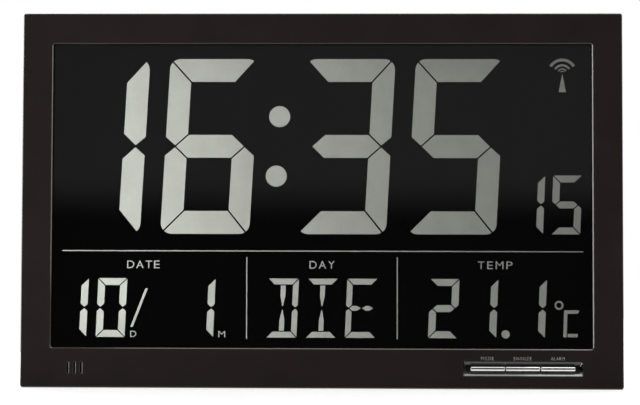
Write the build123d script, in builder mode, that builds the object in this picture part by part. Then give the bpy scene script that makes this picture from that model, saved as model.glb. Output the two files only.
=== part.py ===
from build123d import *
from math import cos, radians, sin, sqrt, tan
import os

os.makedirs("parts", exist_ok=True)

# Lengths are millimetres. X runs to the right, Z up from the base, and a depth is
# measured from the front face towards the back, so the face looks along minus Y.

# Housing
case_width = 360.0
case_height = 224.7
wall = 2.2
corner_radius = 1.6
front_edge_radius = 1.0
rear_depth = 10.0
rear_chamfer = 5.0
tongue_depth = 3.0
tongue_wall = 1.5
seam_clearance = 0.2

# Window and the display sandwich behind it
bezel_side = 18.25
bezel_top = 18.5
bezel_bottom = 23.85
window_corner = 1.0
window_chamfer = 0.6
pane_overlap = 3.0
pane_thickness = 2.0
nest_clearance = 0.3
nest_rib = 1.2
gasket_thickness = 0.6
gasket_inset = 1.0
glass_overlap = 2.6
glass_thickness = 1.1
glass_ledge = 4.5
reflector_thickness = 0.3
segment_thickness = 0.2

# Display holder
holder_thickness = 2.5
holder_bar = 14.0
holder_mullion = 10.0
holder_corner = 4.0
ear_spacing = 102.0

# Figures of the display, with heights above the window's foot
slant = 0.054
small_slant = 0.041
time_digit_width = 53.6
time_digit_height = 105.5
time_bar = 13.8
time_post = 13.2
time_gap = 0.9
time_mitre = 1.4
time_corner = 6.5
time_pitch = 65.85
time_colon_pitch = 82.1
time_x = -26.25
time_z = 120.9
time_margin = 8.7
colon_diameter = 12.7
colon_spacing = 35.9
small_digit_width = 17.43
small_digit_height = 35.3
small_bar = 4.15
small_post = 4.2
small_gap = 0.6
small_corner = 0.7
seconds_x = 135.74
seconds_z = 85.97
seconds_pitch = 22.2
lower_line_z = 23.82
small_pitch = 23.2
day_x = -137.5
date_margin = 3.935
month_x = -72.76
slash_x = -109.3
slash_width = 1.5
slash_height = 23.2
slash_lean = 8.95
letter_width = 18.3
letter_bar = 3.5
letter_post = 3.35
letter_centre_post = 2.9
letter_bar_taper = 2.4
letter_tip = 0.5
letter_pitch = 23.65
weekday_x = 0.43
temperature_x = 84.93
tenths_x = 125.51
point_x = 110.22
point_z = 8.55
point_diameter = 4.9
degree_x = 142.04
degree_z = 25.99
degree_diameter = 5.3
degree_stroke = 1.05
celsius_x = 149.33
celsius_z = 15.0
celsius_width = 9.1
celsius_height = 16.05
celsius_stroke = 2.05
divider_thickness = 0.62
divider_margin = 5.6
divider_z = 57.95
post_divider_x = 45.1
post_divider_length = 48.9
post_divider_z = 29.85
mast_x = 144.44
mast_top_z = 165.0
mast_height = 11.25
mast_width = 4.3
wave_radii = (8.15, 4.95, 2.7, 1.4)
wave_strokes = (1.7, 1.2, 0.7, 0.45)
wave_half_angle = 58.0
small_tip_share = 0.46
time_tip_share = 0.44
tip_rise_share = 0.86
letter_taper_share = 0.41
letter_tip_share = 0.068

# Case screws and bosses
boss_inset = 9.5
boss_radius = 3.2
boss_web = 1.4
screw_radius = 1.4
screw_length = 10.0
screw_head_radius = 2.8
screw_head_height = 2.0
screw_clearance = 0.05
screw_well_radius = 3.2
screw_well_wall = 1.5
screw_well_depth = 5.5
screw_well_floor = 2.0
screw_hole_radius = 1.65

# Small screws of the boards and the display holder
small_screw_radius = 1.1
small_screw_length = 6.0
small_screw_head_radius = 2.2
small_screw_head_height = 1.4

# Key panel, keys and their switches
panel_inset = 59.8
panel_width = 71.4
panel_height = 9.4
panel_rise = 0.35
panel_corner = 0.5
panel_fit = 0.1
panel_sink = 0.3
panel_flange = 2.0
panel_flange_thickness = 1.4
panel_floor = 2.0
panel_rim = 0.5
panel_foot_rim = 1.15
panel_end_slope = 1.2
panel_top_slope = 2.3
panel_foot_slope = 0.3
panel_lip = 0.9
key_length = 20.4
key_height = 2.9
key_gap = 0.5
key_slot_clearance = 0.3
key_front = 0.3
key_edge_radius = 1.2
key_end_radius = 0.4
key_flange_height = 5.4
key_flange_thickness = 1.0
key_flange_inset = 0.3
key_play = 0.2
key_stem_radius = 1.5
key_stem_length = 1.6
key_travel = 0.6
switch_size = 6.0
switch_height = 3.5
switch_room = 0.4
plunger_radius = 1.75
plunger_length = 2.4
plunger_clearance = 0.15
key_post_radius = 2.7
key_post_gap = 0.5
key_board_height = 12.0
key_board_margin = 0.6

# Air slots and the temperature sensor behind them
vent_inset = 32.6
vent_width = 1.0
vent_chamfer = 0.45
vent_height = 7.0
vent_pitch = 4.0
vent_count = 3
chamber_width = 16.0
chamber_height = 11.0
chamber_wall = 1.2
chamber_depth = 6.0
sensor_radius = 1.5
sensor_length = 5.0
sensor_fit = 0.1
sensor_bridge_height = 4.4
sensor_bridge_thickness = 2.0
sensor_stand_out = 1.0

# Boards and what they carry
board_thickness = 1.6
board_inset = 10.0
board_height = 30.0
board_edge_gap = 1.0
board_screw_inset = 5.0
strip_end_inset = 17.0
strip_height = 2.0
strip_inset = 1.8
strip_clearance = 0.3
chip_size = 14.0
chip_height = 1.6
chip_chamfer = 1.2
chip_x = -20.0
crystal_radius = 1.5
crystal_length = 8.0
crystal_x = 4.0
crystal_seat = 0.1
capacitor_radius = 4.0
capacitor_length = 7.0
capacitor_rim = 0.6
capacitor_x = 26.0
receiver_inset = 75.0
receiver_width = 22.0
receiver_height = 14.0
receiver_thickness = 1.2
header_width = 10.0
header_size = 2.5

# Time-signal antenna
antenna_inset = 76.0
antenna_drop = 63.0
rod_radius = 5.0
rod_length = 70.0
coil_radius = 6.5
coil_length = 36.0
coil_fit = 0.05
coil_room = 2.0
cradle_thickness = 4.0
cradle_wall = 2.0
cradle_inset = 6.0
cradle_fit = 0.1

# Alarm buzzer
buzzer_inset = 76.0
buzzer_drop = 65.0
buzzer_radius = 12.0
buzzer_height = 6.0
buzzer_step_radius = 9.0
buzzer_step = 1.0
buzzer_fit = 0.2
buzzer_ring_wall = 1.2
buzzer_ring_height = 3.0
sound_hole_radius = 1.0
sound_hole_circle_radius = 5.0
sound_hole_count = 6

# Battery bay, door and contacts
bay_drop = 76.0
bay_clearance = 1.9
cell_diameter = 14.2
cell_length = 50.5
cell_nub_radius = 2.75
cell_nub_height = 1.3
cell_edge_radius = 0.8
cell_gap = 0.4
spring_space = 5.0
contact_thickness = 0.4
contact_size = 10.0
contact_tab = 3.0
contact_tab_length = 3.5
contact_clearance = 0.2
leaf_width = 6.0
leaf_gap = 0.1
leaf_radius = 1.5
bay_wall = 3.0
bay_floor_wall = 1.5
door_ledge = 2.0
door_thickness = 1.8
door_clearance = 0.3
door_corner = 2.0
hook_width = 6.0
hook_span = 36.0
hook_thickness = 1.2
hook_reach = 2.0
hook_clearance = 0.3
hook_swing_room = 1.0
grip_width = 14.0
grip_height = 1.2
grip_depth = 0.5
grip_pitch = 2.6
grip_count = 3
grip_inset = 6.0
finger_radius = 7.0
finger_depth = 1.4

# Fold-out stand
stand_drop = 31.0
stand_foot_z = 8.0
stand_width = 60.0
stand_top_width = 52.0
stand_thickness = 3.4
stand_sink = 0.6
stand_clearance = 0.5
stand_corner = 4.0
stand_rim = 4.0
stand_web = 1.4
stand_barrel_radius = 2.2
stand_heel_half = 1.1
stand_open_angle = 24.0
stand_stop_gap = 0.1
stand_pin_radius = 1.4
stand_pin_length = 2.0
stand_pin_clearance = 0.15
stand_side_gap = 0.4
stand_grip_radius = 9.0
well_depth = 5.4
well_wall = 2.4
well_corner = 3.0

# Keyholes for hanging, each with a closed pocket behind it
keyhole_spacing = 180.0
keyhole_drop = 29.0
keyhole_radius = 4.5
keyhole_slot = 4.6
keyhole_rise = 8.0
pocket_depth = 5.0
pocket_wall = 1.5
pocket_margin = 1.5

# Stiffening ribs of the back
rib_thickness = 1.2
rib_height = 3.0
rib_pitch = 46.0
rib_count = 2
rib_inset = 72.0
rib_foot_z = 22.0
rib_headroom = 42.0

# Leads inside the case
lead_radius = 0.6
lead_bend = 3.0
lead_spacing = 8.0
lead_depth = 17.0
ribbon_width = 8.0
ribbon_thickness = 0.8
ribbon_offset = 13.8

# Depths of the layers, from the front
pane_back = wall + pane_thickness
glass_front = pane_back + gasket_thickness
glass_middle = glass_front + glass_thickness
glass_back = glass_middle + glass_thickness
holder_front = glass_back + reflector_thickness
holder_back = holder_front + holder_thickness
board_back = holder_back + board_thickness
bay_floor = holder_back + bay_clearance + bay_floor_wall
cell_depth = bay_floor + cell_gap + cell_diameter / 2
door_inside = bay_floor + cell_diameter + 2 * cell_gap
case_depth = door_inside + door_thickness
frame_depth = case_depth - rear_depth
rear_inside = case_depth - wall
boss_end = case_depth - screw_well_depth - screw_well_floor - seam_clearance
panel_back = wall + panel_flange_thickness
key_flange_front = panel_back + key_play
key_flange_back = key_flange_front + key_flange_thickness
plunger_front = key_flange_back + key_stem_length
switch_front = plunger_front + key_travel + switch_room
key_board_front = switch_front + switch_height
key_board_back = key_board_front + board_thickness
chamber_back = wall + chamber_depth
sensor_back = chamber_back + sensor_stand_out
receiver_front = board_back + header_size
receiver_back = receiver_front + receiver_thickness
antenna_depth = rear_inside - coil_room - coil_radius
buzzer_front = rear_inside - buzzer_height
stand_back = case_depth - stand_sink
hinge_depth = stand_back - stand_barrel_radius

# Places and sizes worked out from the driving ones
case_middle = case_height / 2
window_width = case_width - 2 * bezel_side
window_height = case_height - bezel_bottom - bezel_top
window_middle = bezel_bottom + window_height / 2
key_line = bezel_bottom / 2
inner_width = case_width - 2 * wall
inner_height = case_height - 2 * wall
tongue_width = inner_width - 2 * seam_clearance
tongue_height = inner_height - 2 * seam_clearance
tongue_inner_width = tongue_width - 2 * tongue_wall
tongue_inner_height = tongue_height - 2 * tongue_wall
pane_width = window_width + 2 * pane_overlap
pane_height = window_height + 2 * pane_overlap
nest_width = pane_width + 2 * nest_clearance
nest_height = pane_height + 2 * nest_clearance
holder_width = nest_width + 2 * nest_rib
holder_height = nest_height + 2 * nest_rib
glass_width = window_width + 2 * glass_overlap
glass_height = window_height + 2 * glass_overlap
glass_top = window_middle + glass_height / 2
rear_glass_height = glass_height - glass_ledge
rear_glass_z = window_middle - glass_ledge / 2
strip_length = window_width - 2 * strip_end_inset
strip_z = glass_top - strip_inset
board_width = window_width - 2 * board_inset
board_z = window_middle + holder_height / 2 - board_edge_gap - board_height / 2
receiver_x = receiver_inset - case_width / 2
antenna_x = antenna_inset - case_width / 2
antenna_z = case_height - antenna_drop
buzzer_x = case_width / 2 - buzzer_inset
buzzer_z = case_height - buzzer_drop
vent_x = vent_inset - case_width / 2
panel_x = case_width / 2 - panel_inset
panel_z = key_line + panel_rise
ribbon_x = panel_x + ribbon_offset
screw_pitch_z = case_height - 2 * boss_inset
holder_screw_pitch = case_width - 2 * boss_inset
key_pitch = key_length + key_gap
panel_flange_width = panel_width + 2 * panel_flange
panel_flange_height = panel_height + 2 * panel_flange
key_post_span = panel_flange_width + 2 * (key_post_radius + key_post_gap)
key_board_width = key_post_span + 2 * (key_post_radius + key_board_margin)
bay_z = case_height - bay_drop
bay_length = cell_length + spring_space + 2 * contact_thickness
bay_height = 2 * cell_diameter + 3 * cell_gap
cell_offset = (cell_diameter + cell_gap) / 2
opening_width = bay_length + 2 * door_ledge
opening_height = bay_height + 2 * door_ledge
door_width = opening_width - 2 * door_clearance
door_height = opening_height - 2 * door_clearance
door_foot = bay_z - door_height / 2
opening_foot = bay_z - opening_height / 2
tub_width = bay_length + 2 * bay_wall
tub_height = bay_height + 2 * bay_wall
stand_hinge_z = bay_z - stand_drop
well_floor = case_depth - well_depth
# The heel above the hinge meets the well's floor when the stand is fully open
stand_heel = (
    hinge_depth - well_floor - stand_stop_gap - stand_heel_half * cos(radians(stand_open_angle))
) / sin(radians(stand_open_angle))
well_top = stand_hinge_z + stand_heel + stand_clearance
well_foot = stand_foot_z - stand_clearance
well_width = stand_width + 2 * stand_side_gap
well_height = well_top - well_foot
well_z = (well_top + well_foot) / 2
pocket_width = 2 * (keyhole_radius + pocket_margin)
pocket_height = pocket_width + keyhole_rise
keyhole_z = case_height - keyhole_drop
pocket_z = keyhole_z + keyhole_rise / 2
rib_x = case_width / 2 - rib_inset
rib_length = antenna_z - rib_headroom - rib_foot_z
rib_z = rib_foot_z + rib_length / 2
# The inner case screws stand midway between the stand's well and the key board
inner_screw_x = (well_width / 2 + well_wall + panel_x - key_board_width / 2) / 2
# The display's drawing fills the window: places follow its sides, figures the smaller change
drawing_width = small_digit_width + small_pitch + 2 * (date_margin - day_x)
drawing_height = time_z + time_digit_height / 2 + time_margin
divider_length = drawing_width - 2 * divider_margin
across = window_width / drawing_width
upward = window_height / drawing_height
figure_scale = min(across, upward)

# Which bars are lit in each figure, and in each letter of the weekday
lit_bars = {
    "0": "abcdef",
    "1": "bc",
    "2": "abged",
    "3": "abgcd",
    "5": "afgcd",
    "6": "afgedc",
    "C": "ad",
    "D": "abcdil",
    "I": "adil",
    "E": "adefgh",
}


# A plane parallel to the clock's face: local x is X and local y is Z
def face_plane(depth):
    return Plane.XZ.offset(case_depth / 2 - depth)


# The Y coordinate of a depth
def at_depth(depth):
    return depth - case_depth / 2


def save(piece, name):
    piece.part.label = name
    export_step(piece.part, f"parts/{name}.step")


# Where a point of the display's drawing lies on the face
def on_face(x, z):
    return (x * across, bezel_bottom + z * upward)


# Points of a figure about its centre, leaning to the right in step with their height
def lean(points, slope=slant):
    return [(figure_scale * (x + slope * z), figure_scale * z) for x, z in points]


# Places of a grid about a centre
def grid(centre_x, centre_z, pitch_x, pitch_z, columns, rows):
    return [
        (
            centre_x + (column - (columns - 1) / 2) * pitch_x,
            centre_z + (row - (rows - 1) / 2) * pitch_z,
        )
        for column in range(columns)
        for row in range(rows)
    ]


# Outlines of the bars of one figure about its centre: a top, b and c right, d foot,
# e and f left, g middle, as on any seven-bar display, with mitred ends and even gaps
def bar_outlines(width, height, bar, post, gap, tip_share, mitre):
    side = width / 2
    top = height / 2
    slip = gap / sqrt(2)
    tip = post * tip_share

    def level(up):
        return [
            (slip - side, up * top),
            (side - mitre - slip, up * top),
            (side - post - slip, up * (top - bar)),
            (post + slip - side, up * (top - bar)),
        ]

    def upright(right, up):
        outline = [
            (right * side, up * (tip * tip_rise_share + slip)),
            (right * (side - tip), up * slip),
            (right * (side - post), up * (bar / 2 + slip)),
            (right * (side - post), up * (top - bar - slip)),
        ]
        # A right-hand post keeps its corner where the mitre is set in from it
        if right > 0 and mitre > slip:
            return outline + [(side - mitre + slip, up * top), (side, up * top)]
        return outline + [(right * side, up * (top - slip))]

    middle = [
        (tip + slip - side, 0),
        (post + slip - side, bar / 2),
        (side - post - slip, bar / 2),
        (side - tip - slip, 0),
        (side - post - slip, -bar / 2),
        (post + slip - side, -bar / 2),
    ]
    return {
        "a": level(1),
        "b": upright(1, 1),
        "c": upright(1, -1),
        "d": level(-1),
        "e": upright(-1, -1),
        "f": upright(-1, 1),
        "g": middle,
    }


# The weekday's letters add centre posts i and l, and split the middle bar into g and h
def letter_outlines():
    outlines = bar_outlines(
        letter_width, small_digit_height, letter_bar, letter_post, small_gap, small_tip_share, 0
    )
    top = small_digit_height / 2
    side = letter_width / 2
    half = letter_centre_post / 2
    far = side - letter_post * small_tip_share - small_gap

    def centre_post(up):
        return [
            (-half, up * (top - letter_bar - small_gap)),
            (half, up * (top - letter_bar - small_gap)),
            (half, up * top * letter_taper_share),
            (letter_tip / 2, up * top * letter_tip_share),
            (-letter_tip / 2, up * top * letter_tip_share),
            (-half, up * top * letter_taper_share),
        ]

    def half_bar(right, end_taper):
        near = small_gap / 2
        return [
            (right * far, 0),
            (right * (far - end_taper), half),
            (right * (near + letter_bar_taper), half),
            (right * near, 0),
            (right * (near + letter_bar_taper), -half),
            (right * (far - end_taper), -half),
        ]

    outlines["i"] = centre_post(1)
    outlines["l"] = centre_post(-1)
    outlines["g"] = half_bar(-1, half)
    outlines["h"] = half_bar(1, letter_bar_taper)
    return outlines


# The unit letter: a hook a for its top and side, and a short foot d
def celsius_outlines():
    side = celsius_width / 2
    top = celsius_height / 2
    inner = side - celsius_stroke
    hook = [(-side, -top), (-side, top), (side, top)]
    hook += [(side - celsius_stroke / 2, top - celsius_stroke)]
    hook += [(-inner, top - celsius_stroke), (-inner, -top)]
    foot = [(small_gap - inner, -top), (small_gap - inner, celsius_stroke - top)]
    foot += [(side - small_gap, celsius_stroke - top), (side - small_gap, -top)]
    return {"a": hook, "d": foot}


# The lit bars of one figure on the display's face, its outer corners rounded
def figure_face(character, x, z, width, height, radius, outlines, slope=small_slant):
    frame = [(-width / 2, -height / 2), (width / 2, -height / 2)]
    frame += [(width / 2, height / 2), (-width / 2, height / 2)]
    with BuildSketch(face_plane(glass_front)) as figure:
        with Locations(on_face(x, z)):
            Polygon(*lean(frame, slope), align=None)
        fillet(figure.vertices(), figure_scale * radius)
        with BuildSketch(mode=Mode.INTERSECT):
            with Locations(on_face(x, z)):
                for letter in lit_bars[character]:
                    Polygon(*lean(outlines[letter], slope), align=None)
    return figure.sketch


def small_face(character, x, z):
    return figure_face(
        character, x, z, small_digit_width, small_digit_height, small_corner, small_outlines
    )


time_outlines = bar_outlines(
    time_digit_width, time_digit_height, time_bar, time_post, time_gap, time_tip_share, time_mitre
)
small_outlines = bar_outlines(
    small_digit_width, small_digit_height, small_bar, small_post, small_gap, small_tip_share, 0
)

case_screw_places = grid(0, case_middle, holder_screw_pitch, screw_pitch_z, 2, 2)
case_screw_places += grid(0, case_middle, 2 * inner_screw_x, screw_pitch_z, 2, 2)

# Front housing: a shallow tray with the window, key and air openings in its face
with BuildPart() as front_frame:
    with BuildSketch(face_plane(frame_depth)):
        with Locations((0, case_middle)):
            RectangleRounded(case_width, case_height, corner_radius)
    extrude(amount=frame_depth)
    fillet(front_frame.faces().sort_by(Axis.Y)[0].edges(), front_edge_radius)
    with BuildSketch(face_plane(frame_depth)):
        with Locations((0, case_middle)):
            Rectangle(inner_width, inner_height)
    extrude(amount=frame_depth - wall, mode=Mode.SUBTRACT)
    with BuildSketch(face_plane(wall)):
        with Locations((0, window_middle)):
            RectangleRounded(window_width, window_height, window_corner)
    extrude(amount=wall, mode=Mode.SUBTRACT)
    chamfer(front_frame.faces().sort_by(Axis.Y)[0].inner_wires()[0].edges(), window_chamfer)
    # Nest that locates the pane and the display
    with BuildSketch(face_plane(holder_front)):
        with Locations((0, window_middle)):
            Rectangle(holder_width, holder_height)
            Rectangle(nest_width, nest_height, mode=Mode.SUBTRACT)
    extrude(amount=holder_front - wall)
    # Bosses for the case screws, tied to the side walls by webs at the corners
    with BuildSketch(face_plane(boss_end)):
        with Locations(*case_screw_places):
            Circle(boss_radius)
    extrude(amount=boss_end - wall)
    with BuildSketch(face_plane(frame_depth - tongue_depth - seam_clearance)):
        with Locations((0, case_middle)):
            with GridLocations(case_width - boss_inset - wall, screw_pitch_z, 2, 2):
                Rectangle(boss_inset - wall, boss_web)
    extrude(amount=frame_depth - tongue_depth - seam_clearance - wall)
    with BuildSketch(face_plane(boss_end)):
        with Locations(*case_screw_places):
            Circle(screw_radius + screw_clearance)
    extrude(amount=screw_length, mode=Mode.SUBTRACT)
    # Posts under the ears of the display holder
    with BuildSketch(face_plane(holder_front)):
        with Locations((0, window_middle)):
            with GridLocations(holder_screw_pitch, ear_spacing, 2, 2):
                Circle(boss_radius)
                Circle(small_screw_radius + screw_clearance, mode=Mode.SUBTRACT)
    extrude(amount=holder_front - wall)
    # Key opening, and the two posts that carry the key board
    with BuildSketch(face_plane(wall)):
        with Locations((panel_x, panel_z)):
            RectangleRounded(panel_width, panel_height, panel_corner)
    extrude(amount=wall, mode=Mode.SUBTRACT)
    with BuildSketch(face_plane(key_board_front)):
        with Locations((panel_x, key_line)):
            with GridLocations(key_post_span, 0, 2, 1):
                Circle(key_post_radius)
                Circle(small_screw_radius + screw_clearance, mode=Mode.SUBTRACT)
    extrude(amount=key_board_front - wall)
    # Air slots, with a chamber and a bridge behind them for the sensor
    with BuildSketch(face_plane(wall)):
        with Locations((vent_x, key_line)):
            with GridLocations(vent_pitch, 0, vent_count, 1):
                SlotOverall(vent_height, vent_width, rotation=90)
    extrude(amount=wall, mode=Mode.SUBTRACT)
    face = front_frame.faces().sort_by(Axis.Y)[0]
    vent_wires = face.inner_wires().sort_by(Axis.X)[:vent_count]
    chamfer([edge for wire in vent_wires for edge in wire.edges()], vent_chamfer)
    with BuildSketch(face_plane(chamber_back)):
        with Locations((vent_x, key_line)):
            Rectangle(chamber_width + 2 * chamber_wall, chamber_height + 2 * chamber_wall)
            Rectangle(chamber_width, chamber_height, mode=Mode.SUBTRACT)
    extrude(amount=chamber_depth)
    with BuildSketch(face_plane(chamber_back)):
        with Locations((vent_x, key_line)):
            Rectangle(chamber_width, sensor_bridge_height)
            Circle(sensor_radius + sensor_fit, mode=Mode.SUBTRACT)
    extrude(amount=sensor_bridge_thickness)
save(front_frame, "front_frame")

# Clear pane behind the opening
with BuildPart() as display_window:
    with BuildSketch(face_plane(pane_back)):
        with Locations((0, window_middle)):
            Rectangle(pane_width, pane_height)
    extrude(amount=pane_thickness)
save(display_window, "display_window")

# Foam ring that keeps the display off the pane
with BuildPart() as display_gasket:
    with BuildSketch(face_plane(glass_front)):
        with Locations((0, window_middle)):
            Rectangle(glass_width, glass_height)
            Rectangle(
                window_width + 2 * gasket_inset,
                window_height + 2 * gasket_inset,
                mode=Mode.SUBTRACT,
            )
    extrude(amount=gasket_thickness)
save(display_gasket, "display_gasket")

# Display sandwich: the front glass stands above the rear one by the contact ledge
with BuildPart() as lcd_front_glass:
    with BuildSketch(face_plane(glass_middle)):
        with Locations((0, window_middle)):
            Rectangle(glass_width, glass_height)
    extrude(amount=glass_thickness)
save(lcd_front_glass, "lcd_front_glass")

with BuildPart() as lcd_rear_glass:
    with BuildSketch(face_plane(glass_back)):
        with Locations((0, rear_glass_z)):
            Rectangle(glass_width, rear_glass_height)
    extrude(amount=glass_thickness)
save(lcd_rear_glass, "lcd_rear_glass")

with BuildPart() as lcd_reflector:
    with BuildSketch(face_plane(holder_front)):
        with Locations((0, rear_glass_z)):
            Rectangle(glass_width, rear_glass_height)
    extrude(amount=reflector_thickness)
save(lcd_reflector, "lcd_reflector")

# Time: two hours, a colon and two minutes, about the colon
with BuildPart() as lcd_time:
    near = time_colon_pitch / 2
    for character, place in zip("1635", (-near - time_pitch, -near, near, near + time_pitch)):
        figure = figure_face(
            character,
            time_x + place,
            time_z,
            time_digit_width,
            time_digit_height,
            time_corner,
            time_outlines,
            slant,
        )
        extrude(figure, amount=segment_thickness)
    with BuildSketch(face_plane(glass_front)):
        with Locations(on_face(time_x, time_z)):
            with Locations(*lean([(0, colon_spacing / 2), (0, -colon_spacing / 2)])):
                Circle(figure_scale * colon_diameter / 2)
    extrude(amount=segment_thickness)
save(lcd_time, "lcd_time")

with BuildPart() as lcd_seconds:
    extrude(small_face("1", seconds_x - seconds_pitch / 2, seconds_z), amount=segment_thickness)
    extrude(small_face("5", seconds_x + seconds_pitch / 2, seconds_z), amount=segment_thickness)
save(lcd_seconds, "lcd_seconds")

# Day and month with a leaning stroke between them
with BuildPart() as lcd_date:
    extrude(small_face("1", day_x - small_pitch / 2, lower_line_z), amount=segment_thickness)
    extrude(small_face("0", day_x + small_pitch / 2, lower_line_z), amount=segment_thickness)
    extrude(small_face("1", month_x, lower_line_z), amount=segment_thickness)
    with BuildSketch(face_plane(glass_front)):
        with Locations(on_face(slash_x, lower_line_z)):
            stroke = [(-slash_width / 2, -slash_height / 2), (slash_width / 2, -slash_height / 2)]
            stroke += [(slash_width / 2, slash_height / 2), (-slash_width / 2, slash_height / 2)]
            Polygon(*lean(stroke, slash_lean / slash_height), align=None)
    extrude(amount=segment_thickness)
save(lcd_date, "lcd_date")

with BuildPart() as lcd_weekday:
    for character, place in zip("DIE", (-letter_pitch, 0, letter_pitch)):
        figure = figure_face(
            character,
            weekday_x + place,
            lower_line_z,
            letter_width,
            small_digit_height,
            small_corner,
            letter_outlines(),
        )
        extrude(figure, amount=segment_thickness)
save(lcd_weekday, "lcd_weekday")

# Temperature with its point, degree ring and unit letter
with BuildPart() as lcd_temperature:
    extrude(small_face("2", temperature_x - small_pitch / 2, lower_line_z), amount=segment_thickness)
    extrude(small_face("1", temperature_x + small_pitch / 2, lower_line_z), amount=segment_thickness)
    extrude(small_face("1", tenths_x, lower_line_z), amount=segment_thickness)
    with BuildSketch(face_plane(glass_front)):
        with Locations(on_face(point_x, point_z)):
            Circle(figure_scale * point_diameter / 2)
        with Locations(on_face(degree_x, degree_z)):
            Circle(figure_scale * degree_diameter / 2)
            Circle(figure_scale * (degree_diameter / 2 - degree_stroke), mode=Mode.SUBTRACT)
    extrude(amount=segment_thickness)
    unit = figure_face(
        "C",
        celsius_x,
        celsius_z,
        celsius_width,
        celsius_height,
        small_corner,
        celsius_outlines(),
    )
    extrude(unit, amount=segment_thickness)
save(lcd_temperature, "lcd_temperature")

with BuildPart() as lcd_dividers:
    with BuildSketch(face_plane(glass_front)):
        with Locations(on_face(weekday_x, divider_z)):
            Rectangle(across * divider_length, figure_scale * divider_thickness)
        left_post = on_face(weekday_x - post_divider_x, post_divider_z)
        right_post = on_face(weekday_x + post_divider_x, post_divider_z)
        with Locations(left_post, right_post):
            Rectangle(figure_scale * divider_thickness, upward * post_divider_length)
    extrude(amount=segment_thickness)
save(lcd_dividers, "lcd_dividers")

# Radio sign: a mast under four waves
with BuildPart() as lcd_radio_sign:
    with BuildSketch(face_plane(glass_front)):
        with Locations(on_face(mast_x, mast_top_z)):
            for radius, stroke in zip(wave_radii, wave_strokes):
                Circle(figure_scale * (radius + stroke / 2))
                Circle(figure_scale * (radius - stroke / 2), mode=Mode.SUBTRACT)
            reach = wave_radii[0] + wave_strokes[0]
            half_reach = reach * tan(radians(wave_half_angle))
            fan = [(0, 0), (half_reach, reach), (-half_reach, reach)]
            Polygon(*lean(fan, 0), align=None, mode=Mode.INTERSECT)
            mast = [(-mast_width / 2, -mast_height), (mast_width / 2, -mast_height), (0, 0)]
            Polygon(*lean(mast, 0), align=None)
    extrude(amount=segment_thickness)
save(lcd_radio_sign, "lcd_radio_sign")

# Holder: a barred plate with four ears, and a slot for the contact strip
with BuildPart() as lcd_holder:
    bars_foot = window_middle - holder_height / 2 + holder_bar
    bars_top = board_z - board_height / 2 - board_screw_inset
    opening_pitch = (holder_width - 2 * holder_bar + holder_mullion) / 3
    with BuildSketch(face_plane(holder_back)):
        with Locations((0, window_middle)):
            Rectangle(holder_width, holder_height)
            with GridLocations(holder_screw_pitch, ear_spacing, 2, 2):
                Circle(boss_radius)
            with GridLocations(0, ear_spacing, 1, 2):
                Rectangle(holder_screw_pitch, 2 * boss_radius)
            with GridLocations(holder_screw_pitch, ear_spacing, 2, 2):
                Circle(small_screw_radius + screw_clearance, mode=Mode.SUBTRACT)
        with Locations((0, (bars_top + bars_foot) / 2)):
            with GridLocations(opening_pitch, 0, 3, 1):
                RectangleRounded(
                    opening_pitch - holder_mullion,
                    bars_top - bars_foot,
                    holder_corner,
                    mode=Mode.SUBTRACT,
                )
        with Locations((0, strip_z)):
            Rectangle(
                strip_length + 2 * strip_clearance,
                strip_height + 2 * strip_clearance,
                mode=Mode.SUBTRACT,
            )
        with Locations((0, board_z)):
            with GridLocations(
                board_width - 2 * board_screw_inset, board_height - 2 * board_screw_inset, 2, 2
            ):
                Circle(small_screw_radius + screw_clearance, mode=Mode.SUBTRACT)
    extrude(amount=holder_thickness)
save(lcd_holder, "lcd_holder")

# Elastomer strip from the glass ledge back to the main board
with BuildPart() as contact_strip:
    with BuildSketch(face_plane(holder_back)):
        with Locations((0, strip_z)):
            Rectangle(strip_length, strip_height)
    extrude(amount=holder_back - glass_middle)
save(contact_strip, "contact_strip")

with BuildPart() as main_board:
    with BuildSketch(face_plane(board_back)):
        with Locations((0, board_z)):
            Rectangle(board_width, board_height)
            with GridLocations(
                board_width - 2 * board_screw_inset, board_height - 2 * board_screw_inset, 2, 2
            ):
                Circle(small_screw_radius + screw_clearance, mode=Mode.SUBTRACT)
    extrude(amount=board_thickness)
save(main_board, "main_board")

with BuildPart() as controller_chip:
    with BuildSketch(face_plane(board_back + chip_height)):
        with Locations((chip_x, board_z)):
            Rectangle(chip_size, chip_size)
    extrude(amount=chip_height)
    chamfer(controller_chip.edges().filter_by(Axis.Y), chip_chamfer)
save(controller_chip, "controller_chip")

with BuildPart() as timing_crystal:
    with BuildSketch(Plane.YZ.offset(crystal_x)):
        with Locations((at_depth(board_back + crystal_seat + crystal_radius), board_z)):
            Circle(crystal_radius)
    extrude(amount=crystal_length)
save(timing_crystal, "timing_crystal")

with BuildPart() as supply_capacitor:
    with BuildSketch(face_plane(board_back + capacitor_length)):
        with Locations((capacitor_x, board_z)):
            Circle(capacitor_radius)
    extrude(amount=capacitor_length)
    fillet(supply_capacitor.faces().sort_by(Axis.Y)[-1].edges(), capacitor_rim)
save(supply_capacitor, "supply_capacitor")

# Time-signal receiver on a pin header above the main board
with BuildPart() as receiver_header:
    with BuildSketch(face_plane(receiver_front)):
        with Locations((receiver_x, board_z)):
            Rectangle(header_width, header_size)
    extrude(amount=header_size)
save(receiver_header, "receiver_header")

with BuildPart() as receiver_board:
    with BuildSketch(face_plane(receiver_back)):
        with Locations((receiver_x, board_z)):
            Rectangle(receiver_width, receiver_height)
    extrude(amount=receiver_thickness)
save(receiver_board, "receiver_board")

# Ferrite rod and its winding, lying in two cradles of the back
with BuildPart() as antenna_rod:
    with BuildSketch(Plane.YZ.offset(antenna_x - rod_length / 2)):
        with Locations((at_depth(antenna_depth), antenna_z)):
            Circle(rod_radius)
    extrude(amount=rod_length)
save(antenna_rod, "antenna_rod")

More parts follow.
